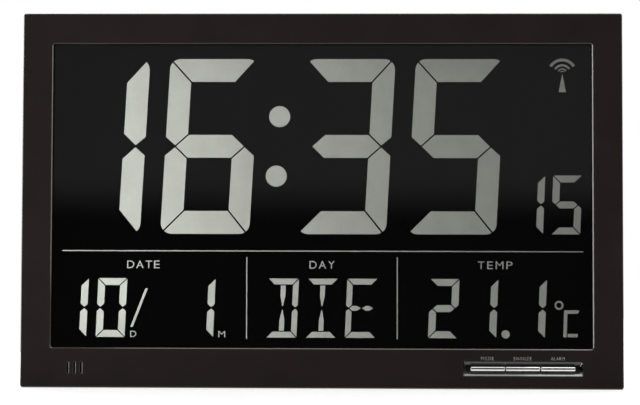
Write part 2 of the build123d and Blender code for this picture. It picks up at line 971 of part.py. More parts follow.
with BuildPart() as antenna_coil:
    with BuildSketch(Plane.YZ.offset(antenna_x - coil_length / 2)):
        with Locations((at_depth(antenna_depth), antenna_z)):
            Circle(coil_radius)
            Circle(rod_radius + coil_fit, mode=Mode.SUBTRACT)
    extrude(amount=coil_length)
save(antenna_coil, "antenna_coil")

with BuildPart() as alarm_buzzer:
    with BuildSketch(face_plane(rear_inside)):
        with Locations((buzzer_x, buzzer_z)):
            Circle(buzzer_radius)
    extrude(amount=buzzer_height - buzzer_step)
    with BuildSketch(face_plane(rear_inside - buzzer_height + buzzer_step)):
        with Locations((buzzer_x, buzzer_z)):
            Circle(buzzer_step_radius)
    extrude(amount=buzzer_step)
save(alarm_buzzer, "alarm_buzzer")

# Temperature bead in the bridge behind the air slots
with BuildPart() as temperature_sensor:
    with BuildSketch(face_plane(sensor_back)):
        with Locations((vent_x, key_line)):
            Circle(sensor_radius)
    extrude(amount=sensor_length)
    fillet(temperature_sensor.faces().sort_by(Axis.Y)[0].edges(), sensor_radius / 2)
save(temperature_sensor, "temperature_sensor")

# Recessed insert round the keys, held by a flange behind the front wall
with BuildPart() as key_panel:
    recess_width = panel_width - 2 * panel_fit - 2 * panel_rim
    recess_height = panel_height - 2 * panel_fit - panel_rim - panel_foot_rim
    recess_z = panel_z + (panel_foot_rim - panel_rim) / 2
    floor_height = recess_height - panel_top_slope - panel_foot_slope
    floor_z = recess_z + (panel_foot_slope - panel_top_slope) / 2
    with BuildSketch(face_plane(panel_back)):
        with Locations((panel_x, panel_z)):
            Rectangle(panel_flange_width, panel_flange_height)
    extrude(amount=panel_flange_thickness)
    with BuildSketch(face_plane(wall)):
        with Locations((panel_x, panel_z)):
            RectangleRounded(
                panel_width - 2 * panel_fit, panel_height - 2 * panel_fit, panel_corner
            )
    extrude(amount=wall - panel_sink)
    with BuildSketch(face_plane(panel_sink)):
        with Locations((panel_x, recess_z)):
            Rectangle(recess_width, recess_height)
    with BuildSketch(face_plane(panel_floor)):
        with Locations((panel_x, floor_z)):
            Rectangle(recess_width - 2 * panel_end_slope, floor_height)
    loft(mode=Mode.SUBTRACT)
    # Bevelled lip along the foot of the recess
    lip_edges = key_panel.edges().filter_by(Axis.X).group_by(Axis.Y)[0]
    chamfer(lip_edges.sort_by(Axis.Z)[1], panel_lip)
    with BuildSketch(face_plane(panel_back)):
        with Locations((panel_x, key_line)):
            Rectangle(
                3 * key_length + 2 * key_gap + 2 * key_slot_clearance,
                key_height + 2 * key_slot_clearance,
            )
    extrude(amount=panel_back, mode=Mode.SUBTRACT)
save(key_panel, "key_panel")


# One key: a rounded bar in front of the panel, a flange and a stem behind it
def make_key(name, x):
    with BuildPart() as key:
        with BuildSketch(face_plane(key_flange_front)):
            with Locations((x, key_line)):
                Rectangle(key_length, key_height)
        extrude(amount=key_flange_front - key_front)
        fillet(key.faces().sort_by(Axis.Y)[0].edges().filter_by(Axis.X), key_edge_radius)
        for end in (key.faces().sort_by(Axis.X)[0], key.faces().sort_by(Axis.X)[-1]):
            fillet(end.edges().sort_by(Axis.Y)[:-1], key_end_radius)
        with BuildSketch(face_plane(key_flange_back)):
            with Locations((x, key_line)):
                Rectangle(key_length - 2 * key_flange_inset, key_flange_height)
        extrude(amount=key_flange_thickness)
        with BuildSketch(face_plane(plunger_front)):
            with Locations((x, key_line)):
                Circle(key_stem_radius)
        extrude(amount=key_stem_length)
    save(key, name)


def make_plunger(name, x):
    with BuildPart() as plunger:
        with BuildSketch(face_plane(plunger_front + plunger_length)):
            with Locations((x, key_line)):
                Circle(plunger_radius)
        extrude(amount=plunger_length)
    save(plunger, name)


for index, function in enumerate(("mode", "snooze", "alarm")):
    make_key(f"{function}_key", panel_x + (index - 1) * key_pitch)
    make_plunger(f"{function}_plunger", panel_x + (index - 1) * key_pitch)

# Three short-travel switches, each with a bore for its plunger
with BuildPart() as key_switches:
    with BuildSketch(face_plane(key_board_front)):
        with Locations((panel_x, key_line)):
            with GridLocations(key_pitch, 0, 3, 1):
                Rectangle(switch_size, switch_size)
    extrude(amount=switch_height)
    with BuildSketch(face_plane(plunger_front + plunger_length + key_travel + switch_room)):
        with Locations((panel_x, key_line)):
            with GridLocations(key_pitch, 0, 3, 1):
                Circle(plunger_radius + plunger_clearance)
    extrude(amount=plunger_length + key_travel + switch_room, mode=Mode.SUBTRACT)
save(key_switches, "key_switches")

with BuildPart() as key_board:
    with BuildSketch(face_plane(key_board_back)):
        with Locations((panel_x, key_line)):
            Rectangle(key_board_width, key_board_height)
            with GridLocations(key_post_span, 0, 2, 1):
                Circle(small_screw_radius + screw_clearance, mode=Mode.SUBTRACT)
    extrude(amount=board_thickness)
save(key_board, "key_board")

# Back housing: a chamfered tray with a tongue that enters the front housing
with BuildPart() as rear_case:
    inner_chamfer = rear_chamfer - wall * (2 - sqrt(2))
    slope_start = rear_inside - inner_chamfer
    with BuildSketch(face_plane(case_depth)):
        with Locations((0, case_middle)):
            Rectangle(case_width, case_height)
    extrude(amount=case_depth - frame_depth)
    chamfer(rear_case.faces().sort_by(Axis.Y)[-1].edges(), rear_chamfer)
    with BuildSketch(face_plane(case_depth)):
        with Locations((0, case_middle)):
            RectangleRounded(case_width, case_height, corner_radius)
    extrude(amount=case_depth - frame_depth, mode=Mode.INTERSECT)
    with BuildSketch(face_plane(slope_start)):
        with Locations((0, case_middle)):
            Rectangle(inner_width, inner_height)
    extrude(amount=slope_start - frame_depth, mode=Mode.SUBTRACT)
    with BuildSketch(face_plane(slope_start)):
        with Locations((0, case_middle)):
            Rectangle(inner_width, inner_height)
    with BuildSketch(face_plane(rear_inside)):
        with Locations((0, case_middle)):
            Rectangle(inner_width - 2 * inner_chamfer, inner_height - 2 * inner_chamfer)
    loft(mode=Mode.SUBTRACT)
    with BuildSketch(face_plane(frame_depth + tongue_depth)):
        with Locations((0, case_middle)):
            Rectangle(inner_width, inner_height)
            Rectangle(tongue_inner_width, tongue_inner_height, mode=Mode.SUBTRACT)
    extrude(amount=tongue_depth)
    with BuildSketch(face_plane(frame_depth)):
        with Locations((0, case_middle)):
            Rectangle(tongue_width, tongue_height)
            Rectangle(tongue_inner_width, tongue_inner_height, mode=Mode.SUBTRACT)
    extrude(amount=tongue_depth)
    # Screw columns with sunk wells
    with BuildSketch(face_plane(rear_inside)):
        with Locations(*case_screw_places):
            Circle(screw_well_radius + screw_well_wall)
    extrude(amount=rear_inside - boss_end - seam_clearance)
    with BuildSketch(face_plane(case_depth)):
        with Locations(*case_screw_places):
            Circle(screw_well_radius)
    extrude(amount=screw_well_depth, mode=Mode.SUBTRACT)
    with BuildSketch(face_plane(case_depth - screw_well_depth)):
        with Locations(*case_screw_places):
            Circle(screw_hole_radius)
    extrude(amount=screw_well_floor, mode=Mode.SUBTRACT)
    # Stand well, with a bore on each side for the stand's pins
    with BuildSketch(face_plane(rear_inside)):
        with Locations((0, well_z)):
            Rectangle(well_width + 2 * well_wall, well_height + 2 * well_wall)
    extrude(amount=well_depth)
    with BuildSketch(face_plane(case_depth)):
        with Locations((0, well_z)):
            RectangleRounded(well_width, well_height, well_corner)
    extrude(amount=well_depth, mode=Mode.SUBTRACT)
    with BuildSketch(Plane.YZ.offset(-well_width / 2 - well_wall)):
        with Locations((at_depth(hinge_depth), stand_hinge_z)):
            Circle(stand_pin_radius + stand_pin_clearance)
    extrude(amount=well_width + 2 * well_wall, mode=Mode.SUBTRACT)
    # Battery tub: a sunk seat for the door and the bay inside it
    with BuildSketch(face_plane(rear_inside)):
        with Locations((0, bay_z)):
            Rectangle(tub_width, tub_height)
    extrude(amount=rear_inside - bay_floor + bay_floor_wall)
    with BuildSketch(face_plane(case_depth)):
        with Locations((0, bay_z)):
            RectangleRounded(opening_width, opening_height, door_corner)
    extrude(amount=door_thickness, mode=Mode.SUBTRACT)
    with BuildSketch(face_plane(door_inside)):
        with Locations((0, bay_z)):
            Rectangle(bay_length, bay_height)
    extrude(amount=door_inside - bay_floor, mode=Mode.SUBTRACT)
    with BuildSketch(face_plane(case_depth)):
        with Locations((0, bay_z + opening_height / 2)):
            Circle(finger_radius)
        with Locations((0, bay_z)):
            Rectangle(opening_width, opening_height, mode=Mode.SUBTRACT)
    extrude(amount=finger_depth, mode=Mode.SUBTRACT)
    # Slots in the foot of the tub for the door's hooks
    for side in (-1, 1):
        notch_half = hook_width / 2 + hook_clearance
        notch_front = rear_inside - hook_clearance - hook_thickness - hook_swing_room
        with BuildSketch(Plane.YZ.offset(side * hook_span / 2 - notch_half)):
            Polygon(
                (at_depth(notch_front), opening_foot - hook_reach - hook_clearance),
                (at_depth(rear_inside), opening_foot - hook_reach - hook_clearance),
                (at_depth(rear_inside), opening_foot),
                (at_depth(door_inside), opening_foot),
                (at_depth(door_inside), bay_z - bay_height / 2 + cell_gap),
                (at_depth(notch_front), bay_z - bay_height / 2 + cell_gap),
                align=None,
            )
        extrude(amount=2 * notch_half, mode=Mode.SUBTRACT)
    # Slots in the end of the tub for the tabs of the two terminals
    with BuildSketch(Plane.YZ.offset(bay_length / 2)):
        with Locations((at_depth(cell_depth), bay_z)):
            with GridLocations(0, 2 * cell_offset, 1, 2):
                Rectangle(
                    contact_thickness + 2 * contact_clearance, contact_tab + 2 * contact_clearance
                )
    extrude(amount=bay_wall, mode=Mode.SUBTRACT)
    # Keyholes, each over a closed pocket
    with BuildSketch(face_plane(rear_inside)):
        with Locations((0, pocket_z)):
            with GridLocations(keyhole_spacing, 0, 2, 1):
                Rectangle(pocket_width + 2 * pocket_wall, pocket_height + 2 * pocket_wall)
    extrude(amount=pocket_depth + pocket_wall)
    with BuildSketch(face_plane(rear_inside)):
        with Locations((0, pocket_z)):
            with GridLocations(keyhole_spacing, 0, 2, 1):
                Rectangle(pocket_width, pocket_height)
    extrude(amount=pocket_depth, mode=Mode.SUBTRACT)
    with BuildSketch(face_plane(case_depth)):
        with Locations((0, keyhole_z)):
            with GridLocations(keyhole_spacing, 0, 2, 1):
                Circle(keyhole_radius)
        with Locations((0, keyhole_z + keyhole_rise / 2)):
            with GridLocations(keyhole_spacing, 0, 2, 1):
                SlotCenterToCenter(keyhole_rise, keyhole_slot, rotation=90)
    extrude(amount=wall, mode=Mode.SUBTRACT)
    # Ring and sound holes for the buzzer
    with BuildSketch(face_plane(rear_inside)):
        with Locations((buzzer_x, buzzer_z)):
            Circle(buzzer_radius + buzzer_fit + buzzer_ring_wall)
            Circle(buzzer_radius + buzzer_fit, mode=Mode.SUBTRACT)
    extrude(amount=buzzer_ring_height)
    with BuildSketch(face_plane(case_depth)):
        with Locations((buzzer_x, buzzer_z)):
            Circle(sound_hole_radius)
            with PolarLocations(sound_hole_circle_radius, sound_hole_count):
                Circle(sound_hole_radius)
    extrude(amount=wall, mode=Mode.SUBTRACT)
    # Cradles for the ferrite rod
    with BuildSketch(face_plane(rear_inside)):
        with Locations((antenna_x, antenna_z)):
            with GridLocations(rod_length - 2 * cradle_inset, 0, 2, 1):
                Rectangle(cradle_thickness, 2 * (rod_radius + cradle_wall))
    extrude(amount=rear_inside - antenna_depth)
    with BuildSketch(Plane.YZ.offset(antenna_x - rod_length / 2)):
        with Locations((at_depth(antenna_depth), antenna_z)):
            Circle(rod_radius + cradle_fit)
    extrude(amount=rod_length, mode=Mode.SUBTRACT)
    # Stiffening ribs beside the stand well
    with BuildSketch(face_plane(rear_inside)):
        for side in (-1, 1):
            with Locations((side * rib_x, rib_z)):
                with GridLocations(rib_pitch, 0, rib_count, 1):
                    Rectangle(rib_thickness, rib_length)
    extrude(amount=rib_height)
save(rear_case, "rear_case")

# Battery door: a flush plate with two hooks under its lower edge and a ribbed grip
with BuildPart() as battery_door:
    with BuildSketch(face_plane(case_depth)):
        with Locations((0, bay_z)):
            RectangleRounded(door_width, door_height, door_corner)
    extrude(amount=door_thickness)
    with BuildSketch(face_plane(case_depth)):
        with Locations((0, bay_z + door_height / 2 - grip_inset)):
            with GridLocations(0, grip_pitch, 1, grip_count):
                SlotOverall(grip_width, grip_height)
    extrude(amount=grip_depth, mode=Mode.SUBTRACT)
    hook_back = rear_inside - hook_clearance
    hook_front = hook_back - hook_thickness
    with BuildSketch(Plane.YZ.offset(-(hook_span + hook_width) / 2)):
        Polygon(
            (at_depth(door_inside), door_foot),
            (at_depth(door_inside), door_foot + hook_thickness),
            (at_depth(hook_front), door_foot + hook_thickness),
            (at_depth(hook_front), door_foot - hook_reach),
            (at_depth(hook_back), door_foot - hook_reach),
            (at_depth(hook_back), door_foot),
            align=None,
        )
    extrude(amount=hook_width)
    mirror(battery_door.part, about=Plane.YZ)
save(battery_door, "battery_door")


# One round cell; its nub points right for a turn of 1 and left for -1
def make_cell(name, turn, z):
    can_length = cell_length - cell_nub_height
    nub_x = turn * (bay_length / 2 - contact_thickness)
    base_x = nub_x - turn * cell_length
    with BuildPart() as cell:
        with BuildSketch(Plane.YZ.offset(base_x)):
            with Locations((at_depth(cell_depth), z)):
                Circle(cell_diameter / 2)
        extrude(amount=turn * can_length)
        fillet(cell.edges().filter_by(GeomType.CIRCLE), cell_edge_radius)
        with BuildSketch(Plane.YZ.offset(base_x + turn * can_length)):
            with Locations((at_depth(cell_depth), z)):
                Circle(cell_nub_radius)
        extrude(amount=turn * cell_nub_height)
    save(cell, name)


make_cell("battery_cell_upper", 1, bay_z + cell_offset)
make_cell("battery_cell_lower", -1, bay_z - cell_offset)


# Section of a flat contact plate against one end of the bay, square to the cells
def plate_section(side, z, height):
    with BuildSketch(face_plane(cell_depth + contact_size / 2)) as section_face:
        with Locations((side * (bay_length / 2 - contact_thickness / 2), z)):
            Rectangle(contact_thickness, height)
    return section_face.sketch


# Section of a bent leaf that reaches from such a plate to the foot of a cell
def leaf_section(side, z):
    root_x = side * (bay_length / 2 - contact_thickness / 2)
    reach_x = root_x - side * (spring_space - leaf_gap)
    root_y = at_depth(cell_depth + contact_size / 2 - contact_thickness)
    free_y = at_depth(cell_depth - contact_size / 2 + contact_thickness)
    with BuildSketch(Plane.XY.offset(z - leaf_width / 2)) as section_face:
        with BuildLine():
            FilletPolyline(
                (root_x, root_y),
                (reach_x, at_depth(cell_depth)),
                (root_x - side * leaf_radius, free_y),
                radius=leaf_radius,
            )
        trace(line_width=contact_thickness)
    return section_face.sketch


# Section of the tab that carries a terminal out through the end of the tub
def tab_section(z):
    with BuildSketch(Plane.YZ.offset(bay_length / 2 - contact_thickness)) as section_face:
        with Locations((at_depth(cell_depth), z)):
            Rectangle(contact_thickness, contact_tab)
    return section_face.sketch


tab_run = contact_thickness + bay_wall + contact_tab_length

with BuildPart() as bridge_contact:
    extrude(plate_section(-1, bay_z, 2 * cell_offset + contact_size), amount=contact_size)
    extrude(leaf_section(-1, bay_z + cell_offset), amount=leaf_width)
save(bridge_contact, "bridge_contact")

with BuildPart() as positive_contact:
    extrude(plate_section(1, bay_z + cell_offset, contact_size), amount=contact_size)
    extrude(tab_section(bay_z + cell_offset), amount=tab_run)
save(positive_contact, "positive_contact")

with BuildPart() as negative_contact:
    extrude(plate_section(1, bay_z - cell_offset, contact_size), amount=contact_size)
    extrude(leaf_section(1, bay_z - cell_offset), amount=leaf_width)
    extrude(tab_section(bay_z - cell_offset), amount=tab_run)
save(negative_contact, "negative_contact")

# Fold-out stand: a tapered leg with a rim, a hinge barrel, pins and a stop heel
with BuildPart() as table_stand:
    with BuildSketch(face_plane(stand_back)):
        Polygon(
            (-stand_top_width / 2, stand_hinge_z),
            (-stand_width / 2, stand_foot_z),
            (stand_width / 2, stand_foot_z),
            (stand_top_width / 2, stand_hinge_z),
            align=None,
        )
    extrude(amount=stand_thickness)
    fillet(table_stand.edges().filter_by(Axis.Y).group_by(Axis.Z)[0], stand_corner)
    with BuildSketch(face_plane(stand_back - stand_web)):
        with BuildLine():
            Polyline(
                (stand_rim - stand_top_width / 2, stand_hinge_z - stand_rim),
                (stand_rim - stand_width / 2, stand_foot_z + 2 * stand_rim),
                (stand_width / 2 - stand_rim, stand_foot_z + 2 * stand_rim),
                (stand_top_width / 2 - stand_rim, stand_hinge_z - stand_rim),
                close=True,
            )
        make_face()
        with Locations((0, (stand_hinge_z + stand_foot_z) / 2)):
            Rectangle(stand_rim / 2, stand_hinge_z - stand_foot_z, mode=Mode.SUBTRACT)
    extrude(amount=stand_thickness - stand_web, mode=Mode.SUBTRACT)
    with BuildSketch(Plane.YZ.offset(-stand_top_width / 2)):
        with Locations((at_depth(hinge_depth), stand_hinge_z)):
            Circle(stand_barrel_radius)
            with Locations((0, stand_heel / 2)):
                Rectangle(2 * stand_heel_half, stand_heel)
    extrude(amount=stand_top_width)
    with BuildSketch(Plane.YZ.offset(-well_width / 2 - stand_pin_length)):
        with Locations((at_depth(hinge_depth), stand_hinge_z)):
            Circle(stand_pin_radius)
    extrude(amount=well_width + 2 * stand_pin_length)
    with BuildSketch(face_plane(stand_back)):
        with Locations((0, stand_foot_z - stand_grip_radius / 2)):
            Circle(stand_grip_radius)
    extrude(amount=stand_thickness, mode=Mode.SUBTRACT)
save(table_stand, "table_stand")


# Pan-head screws as one group: each set has a seat depth, a shank length and its places
def make_screws(name, radius, head_radius, head_height, screw_sets):
    with BuildPart() as screws:
        for seat, length, places in screw_sets:
            with BuildSketch(face_plane(seat + head_height)):
                with Locations(*places):
                    Circle(head_radius)
            extrude(amount=head_height)
            with BuildSketch(face_plane(seat)):
                with Locations(*places):
                    Circle(radius)
            extrude(amount=length)
    save(screws, name)


board_screw_places = grid(
    0, board_z, board_width - 2 * board_screw_inset, board_height - 2 * board_screw_inset, 2, 2
)
make_screws(
    "case_screws",
    screw_radius,
    screw_head_radius,
    screw_head_height,
    [
        (
            case_depth - screw_well_depth,
            screw_length,
            case_screw_places,
        )
    ],
)
make_screws(
    "holder_screws",
    small_screw_radius,
    small_screw_head_radius,
    small_screw_head_height,
    [
        (
            holder_back,
            small_screw_length,
            grid(0, window_middle, holder_screw_pitch, ear_spacing, 2, 2),
        )
    ],
)
make_screws(
    "board_screws",
    small_screw_radius,
    small_screw_head_radius,
    small_screw_head_height,
    [
        (board_back, board_thickness + holder_thickness, board_screw_places),
        (key_board_back, small_screw_length, grid(panel_x, key_line, key_post_span, 0, 2, 1)),
    ],
)


# Insulated leads as one group, each along a route of (x, depth, z) points
def make_leads(name, routes):
    with BuildPart() as leads:
        for route in routes:
            points = [(x, at_depth(depth), z) for x, depth, z in route]
            with BuildLine() as path:
                FilletPolyline(*points, radius=lead_bend)
            with BuildSketch(Plane(origin=path.line @ 0, z_dir=path.line % 0)):
                Circle(lead_radius)
            sweep()
    save(leads, name)


# Route from a battery terminal's tab out, up and on to the main board
def battery_route(z, spacing):
    tab_end = bay_length / 2 + bay_wall + contact_tab_length
    return [
        (tab_end, cell_depth, z),
        (tab_end + spacing, cell_depth, z),
        (tab_end + spacing, cell_depth, board_z),
        (tab_end + spacing, board_back, board_z),
    ]


def antenna_route(x):
    return [
        (x, antenna_depth, antenna_z + coil_radius + cradle_fit),
        (x, antenna_depth, board_z),
        (x, receiver_back, board_z),
    ]


# Route back from a piece, up behind the display and forward to the main board
def riser_route(x, start_depth, z):
    return [
        (x, start_depth, z),
        (x, lead_depth, z),
        (x, lead_depth, board_z),
        (x, board_back, board_z),
    ]


half_spacing = lead_spacing / 2
make_leads("battery_lead_positive", [battery_route(bay_z + cell_offset, lead_spacing)])
make_leads("battery_lead_negative", [battery_route(bay_z - cell_offset, 2 * lead_spacing)])
make_leads(
    "antenna_leads",
    [antenna_route(receiver_x - half_spacing), antenna_route(receiver_x + half_spacing)],
)
make_leads(
    "buzzer_leads",
    [
        riser_route(buzzer_x - half_spacing, buzzer_front, buzzer_z),
        riser_route(buzzer_x + half_spacing, buzzer_front, buzzer_z),
    ],
)
make_leads("sensor_lead", [riser_route(vent_x, sensor_back, key_line)])

# Flat ribbon from the key board up to the main board
with BuildPart() as key_ribbon:
    with BuildSketch(Plane.YZ.offset(ribbon_x - ribbon_width / 2)):
        with BuildLine():
            FilletPolyline(
                (at_depth(key_board_back), key_line),
                (at_depth(lead_depth), key_line),
                (at_depth(lead_depth), board_z),
                (at_depth(board_back), board_z),
                radius=lead_bend,
            )
        trace(line_width=ribbon_thickness)
    extrude(amount=ribbon_width)
save(key_ribbon, "key_ribbon")
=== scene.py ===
import bmesh
import bpy
from math import radians, tan
from mathutils import Matrix, Vector


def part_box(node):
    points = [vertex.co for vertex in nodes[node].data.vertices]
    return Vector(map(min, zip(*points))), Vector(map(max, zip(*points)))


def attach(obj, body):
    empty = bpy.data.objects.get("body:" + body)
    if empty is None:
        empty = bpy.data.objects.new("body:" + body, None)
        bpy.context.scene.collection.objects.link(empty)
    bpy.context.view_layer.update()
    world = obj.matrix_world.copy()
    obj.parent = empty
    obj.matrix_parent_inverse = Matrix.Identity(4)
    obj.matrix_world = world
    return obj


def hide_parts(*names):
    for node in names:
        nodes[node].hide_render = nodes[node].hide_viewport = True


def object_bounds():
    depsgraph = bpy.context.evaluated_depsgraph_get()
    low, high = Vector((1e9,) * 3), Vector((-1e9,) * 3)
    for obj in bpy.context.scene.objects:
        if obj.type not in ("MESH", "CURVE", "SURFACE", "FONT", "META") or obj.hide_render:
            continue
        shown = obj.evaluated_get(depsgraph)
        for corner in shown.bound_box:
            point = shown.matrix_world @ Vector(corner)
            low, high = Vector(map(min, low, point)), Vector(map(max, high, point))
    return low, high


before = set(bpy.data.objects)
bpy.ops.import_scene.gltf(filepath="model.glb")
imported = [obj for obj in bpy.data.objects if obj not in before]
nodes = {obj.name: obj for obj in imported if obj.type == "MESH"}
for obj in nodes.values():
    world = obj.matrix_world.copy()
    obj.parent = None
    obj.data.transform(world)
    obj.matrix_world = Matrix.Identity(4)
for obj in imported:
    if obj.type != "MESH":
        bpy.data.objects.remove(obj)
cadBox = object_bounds()
mm = 0.001  # the frame and the studio are in metres, the sizes of pieces in millimetres
print("frame loaded with", len(nodes), "nodes")


def linear(hexColour):
    parts = [int(hexColour[place:place + 2], 16) / 255 for place in (1, 3, 5)]
    return [c / 12.92 if c <= 0.04045 else ((c + 0.055) / 1.055) ** 2.4 for c in parts] + [1.0]


# adds one node; a socket among the inputs is linked, any other value is set
def add(tree, kind, settings={}, inputs={}):
    node = tree.nodes.new("ShaderNode" + kind)
    for name, value in settings.items():
        setattr(node, name, value)
    for socket, value in inputs.items():
        if isinstance(value, bpy.types.NodeSocket):
            tree.links.new(value, node.inputs[socket])
        else:
            node.inputs[socket].default_value = value
    return node


def newMaterial(name):
    material = bpy.data.materials.new(name)
    material.use_nodes = True
    tree = material.node_tree
    return material, tree, tree.nodes["Principled BSDF"]


def dress(material, *names):
    for name in names:
        nodes[name].material_slots[0].material = material


grainNoise = {
    "detail": 3.0, "roughness": 0.55, "cloudDetail": 2.0, "share": 0.5, "low": 0.3, "high": 0.7,
}


# a grain of the given size in mm: its value drives a tone, a roughness and a bump
def grained(name, look):
    material, tree, shader = newMaterial(name)
    place = add(tree, "TexCoord").outputs["Object"]
    grain = add(tree, "TexNoise", {}, {
        "Vector": place, "Scale": 1 / (look["grainMm"] * mm),
        "Detail": grainNoise["detail"], "Roughness": grainNoise["roughness"]})
    cloud = add(tree, "TexNoise", {}, {
        "Vector": place, "Scale": 1 / (look["cloudMm"] * mm),
        "Detail": grainNoise["cloudDetail"]})
    clouded = add(tree, "Math", {"operation": "MULTIPLY"}, {
        0: cloud.outputs[0], 1: grainNoise["share"]})
    both = add(tree, "Math", {"operation": "MULTIPLY_ADD"}, {
        0: grain.outputs[0], 1: grainNoise["share"], 2: clouded.outputs[0]})
    spread = add(tree, "MapRange", {}, {
        "Value": both.outputs[0],
        "From Min": grainNoise["low"], "From Max": grainNoise["high"]})
    tone = add(tree, "Mix", {"data_type": "RGBA"}, {
        0: spread.outputs[0], 6: linear(look["dark"]), 7: linear(look["light"])})
    rough = add(tree, "MapRange", {}, {
        "Value": grain.outputs[0],
        "From Min": grainNoise["low"], "From Max": grainNoise["high"],
        "To Min": look["roughness"] - look["roughSpread"],
        "To Max": look["roughness"] + look["roughSpread"]})
    bump = add(tree, "Bump", {}, {
        "Strength": look["bump"], "Distance": look["bumpMm"] * mm,
        "Height": grain.outputs[0]})
    tree.links.new(tone.outputs[2], shader.inputs["Base Color"])
    tree.links.new(rough.outputs[0], shader.inputs["Roughness"])
    tree.links.new(bump.outputs[0], shader.inputs["Normal"])
    for socket in ("Metallic", "IOR", "Specular IOR Level", "Coat Weight", "Coat Roughness"):
        if socket in look:
            shader.inputs[socket].default_value = look[socket]
    return material, tree, shader, rough, bump


# Housing: ABS moulded against a spark-eroded tool, so the faces are matt and
# slightly speckled, and the edges, which the erosion doesn't reach, are smoother.
# The grit is about 0.1 mm on the real thing and is drawn coarser to show at all.
housing = {
    "dark": "#1c1716", "light": "#241e1c", "grainMm": 0.7, "cloudMm": 22.0,
    "roughness": 0.6, "roughSpread": 0.06, "bump": 0.4, "bumpMm": 0.03,
    "IOR": 1.53, "Specular IOR Level": 0.04,
}
edgePolish = {
    "coat": 0.7, "roughness": 0.3, "gloss": 0.12, "roundMm": 0.35, "samples": 6,
    "frontMm": -13.9,  # edges behind this y stay matt
    "facing": (-0.985, -0.93),  # the normal's y, from a flat face to a full edge
}

backHousing = {**housing, "roughness": 0.5, "bump": 0.6, "Specular IOR Level": 0.2}
dress(
    grained("Textured ABS, brown-black", backHousing)[0],
    "rear_case", "battery_door", "table_stand",
)
material, tree, shader, rough, bump = grained("Textured ABS with smooth edges", housing)
rounded = add(tree, "Bevel", {"samples": edgePolish["samples"]}, {
    "Radius": edgePolish["roundMm"] * mm})
facing = add(tree, "SeparateXYZ", {}, {0: rounded.outputs[0]})
turned = add(tree, "MapRange", {}, {
    "Value": facing.outputs["Y"], "From Min": edgePolish["facing"][0],
    "From Max": edgePolish["facing"][1], "To Max": edgePolish["coat"]})
depth = add(tree, "SeparateXYZ", {}, {0: add(tree, "TexCoord").outputs["Object"]})
atFront = add(tree, "Math", {"operation": "LESS_THAN"}, {
    0: depth.outputs["Y"], 1: edgePolish["frontMm"] * mm})
onEdge = add(tree, "Math", {"operation": "MULTIPLY"}, {
    0: turned.outputs[0], 1: atFront.outputs[0]})
edgeRough = add(tree, "Mix", {"data_type": "FLOAT"}, {
    0: onEdge.outputs[0], 2: rough.outputs[0], 3: edgePolish["roughness"]})
tree.links.new(edgeRough.outputs[0], shader.inputs["Roughness"])
tree.links.new(onEdge.outputs[0], shader.inputs["Coat Weight"])
shader.inputs["Coat Roughness"].default_value = edgePolish["gloss"]
tree.links.new(rounded.outputs[0], bump.inputs["Normal"])
tree.links.new(rounded.outputs[0], shader.inputs["Coat Normal"])
dress(material, "front_frame")
print("housing dressed")

# Window: clear cast acrylic, polished; lamps pass it so that the display behind is lit
pane = {"roughness": 0.0, "IOR": 1.49, "tint": "#fbfcfb"}
material, tree, shader = newMaterial("Clear acrylic")
shader.inputs["Base Color"].default_value = linear(pane["tint"])
shader.inputs["Transmission Weight"].default_value = 1.0
shader.inputs["Roughness"].default_value = pane["roughness"]
shader.inputs["IOR"].default_value = pane["IOR"]
clear = add(tree, "BsdfTransparent")
mix = add(tree, "MixShader", {}, {
    0: add(tree, "LightPath").outputs["Is Shadow Ray"], 1: shader.outputs[0],
    2: clear.outputs[0]})
tree.links.new(mix.outputs[0], tree.nodes["Material Output"].inputs["Surface"])
dress(material, "display_window")

# Display glass: two sheets with a black mask and a polariser, nearly black and smooth
glass = {
    "dark": "#030304", "light": "#050506", "grainMm": 4.0, "cloudMm": 60.0,
    "roughness": 0.02, "roughSpread": 0.01, "bump": 0.0, "bumpMm": 0.001,
    "IOR": 1.5, "Specular IOR Level": 0.55,
}
dress(grained("Display glass with polariser", glass)[0], "lcd_front_glass", "lcd_rear_glass")

# Lit figures: the satin foil behind the display, greyed by the polariser in front of it.
# It spreads a lamp into a broad lobe, so a figure fades with its angle to the lamp.
figureFoil = {
    "dark": "#979892", "light": "#a5a6a0", "grainMm": 0.9, "cloudMm": 14.0,
    "roughness": 0.455, "roughSpread": 0.015, "bump": 0.15, "bumpMm": 0.01,
    "Metallic": 1.0,
}
dress(
    grained("Satin reflector foil", figureFoil)[0],
    "lcd_time", "lcd_seconds", "lcd_date", "lcd_weekday", "lcd_temperature", "lcd_radio_sign",
    "lcd_reflector",
)

# Fixed rules and words: openings in the black mask, with the foil behind them
ink = {
    "dark": "#93948f", "light": "#9fa09c", "grainMm": 0.5, "cloudMm": 9.0,
    "roughness": 0.48, "roughSpread": 0.02, "bump": 0.1, "bumpMm": 0.004, "Metallic": 1.0,
}
inkMaterial = grained("Foil behind the mask", ink)[0]
dress(inkMaterial, "lcd_dividers")
print("display dressed")

# Key insert: glossy ABS, moulded against a polished tool
keyInsert = {
    "dark": "#0e0d0d", "light": "#141312", "grainMm": 1.4, "cloudMm": 12.0,
    "roughness": 0.07, "roughSpread": 0.02, "bump": 0.02, "bumpMm": 0.01, "IOR": 1.53,
    "Specular IOR Level": 0.62,
}
dress(grained("Glossy ABS, black", keyInsert)[0], "key_panel")

# Keys: ABS with bright chrome plating, faintly wavy as plated plastic is
keyPlating = {
    "dark": "#d1cfce", "light": "#dcdad9", "grainMm": 2.5, "cloudMm": 8.0,
    "roughness": 0.07, "roughSpread": 0.02, "bump": 0.04, "bumpMm": 0.01, "Metallic": 1.0,
}
dress(grained("Chrome-plated ABS", keyPlating)[0], "mode_key", "snooze_key", "alarm_key")
print("keys dressed")

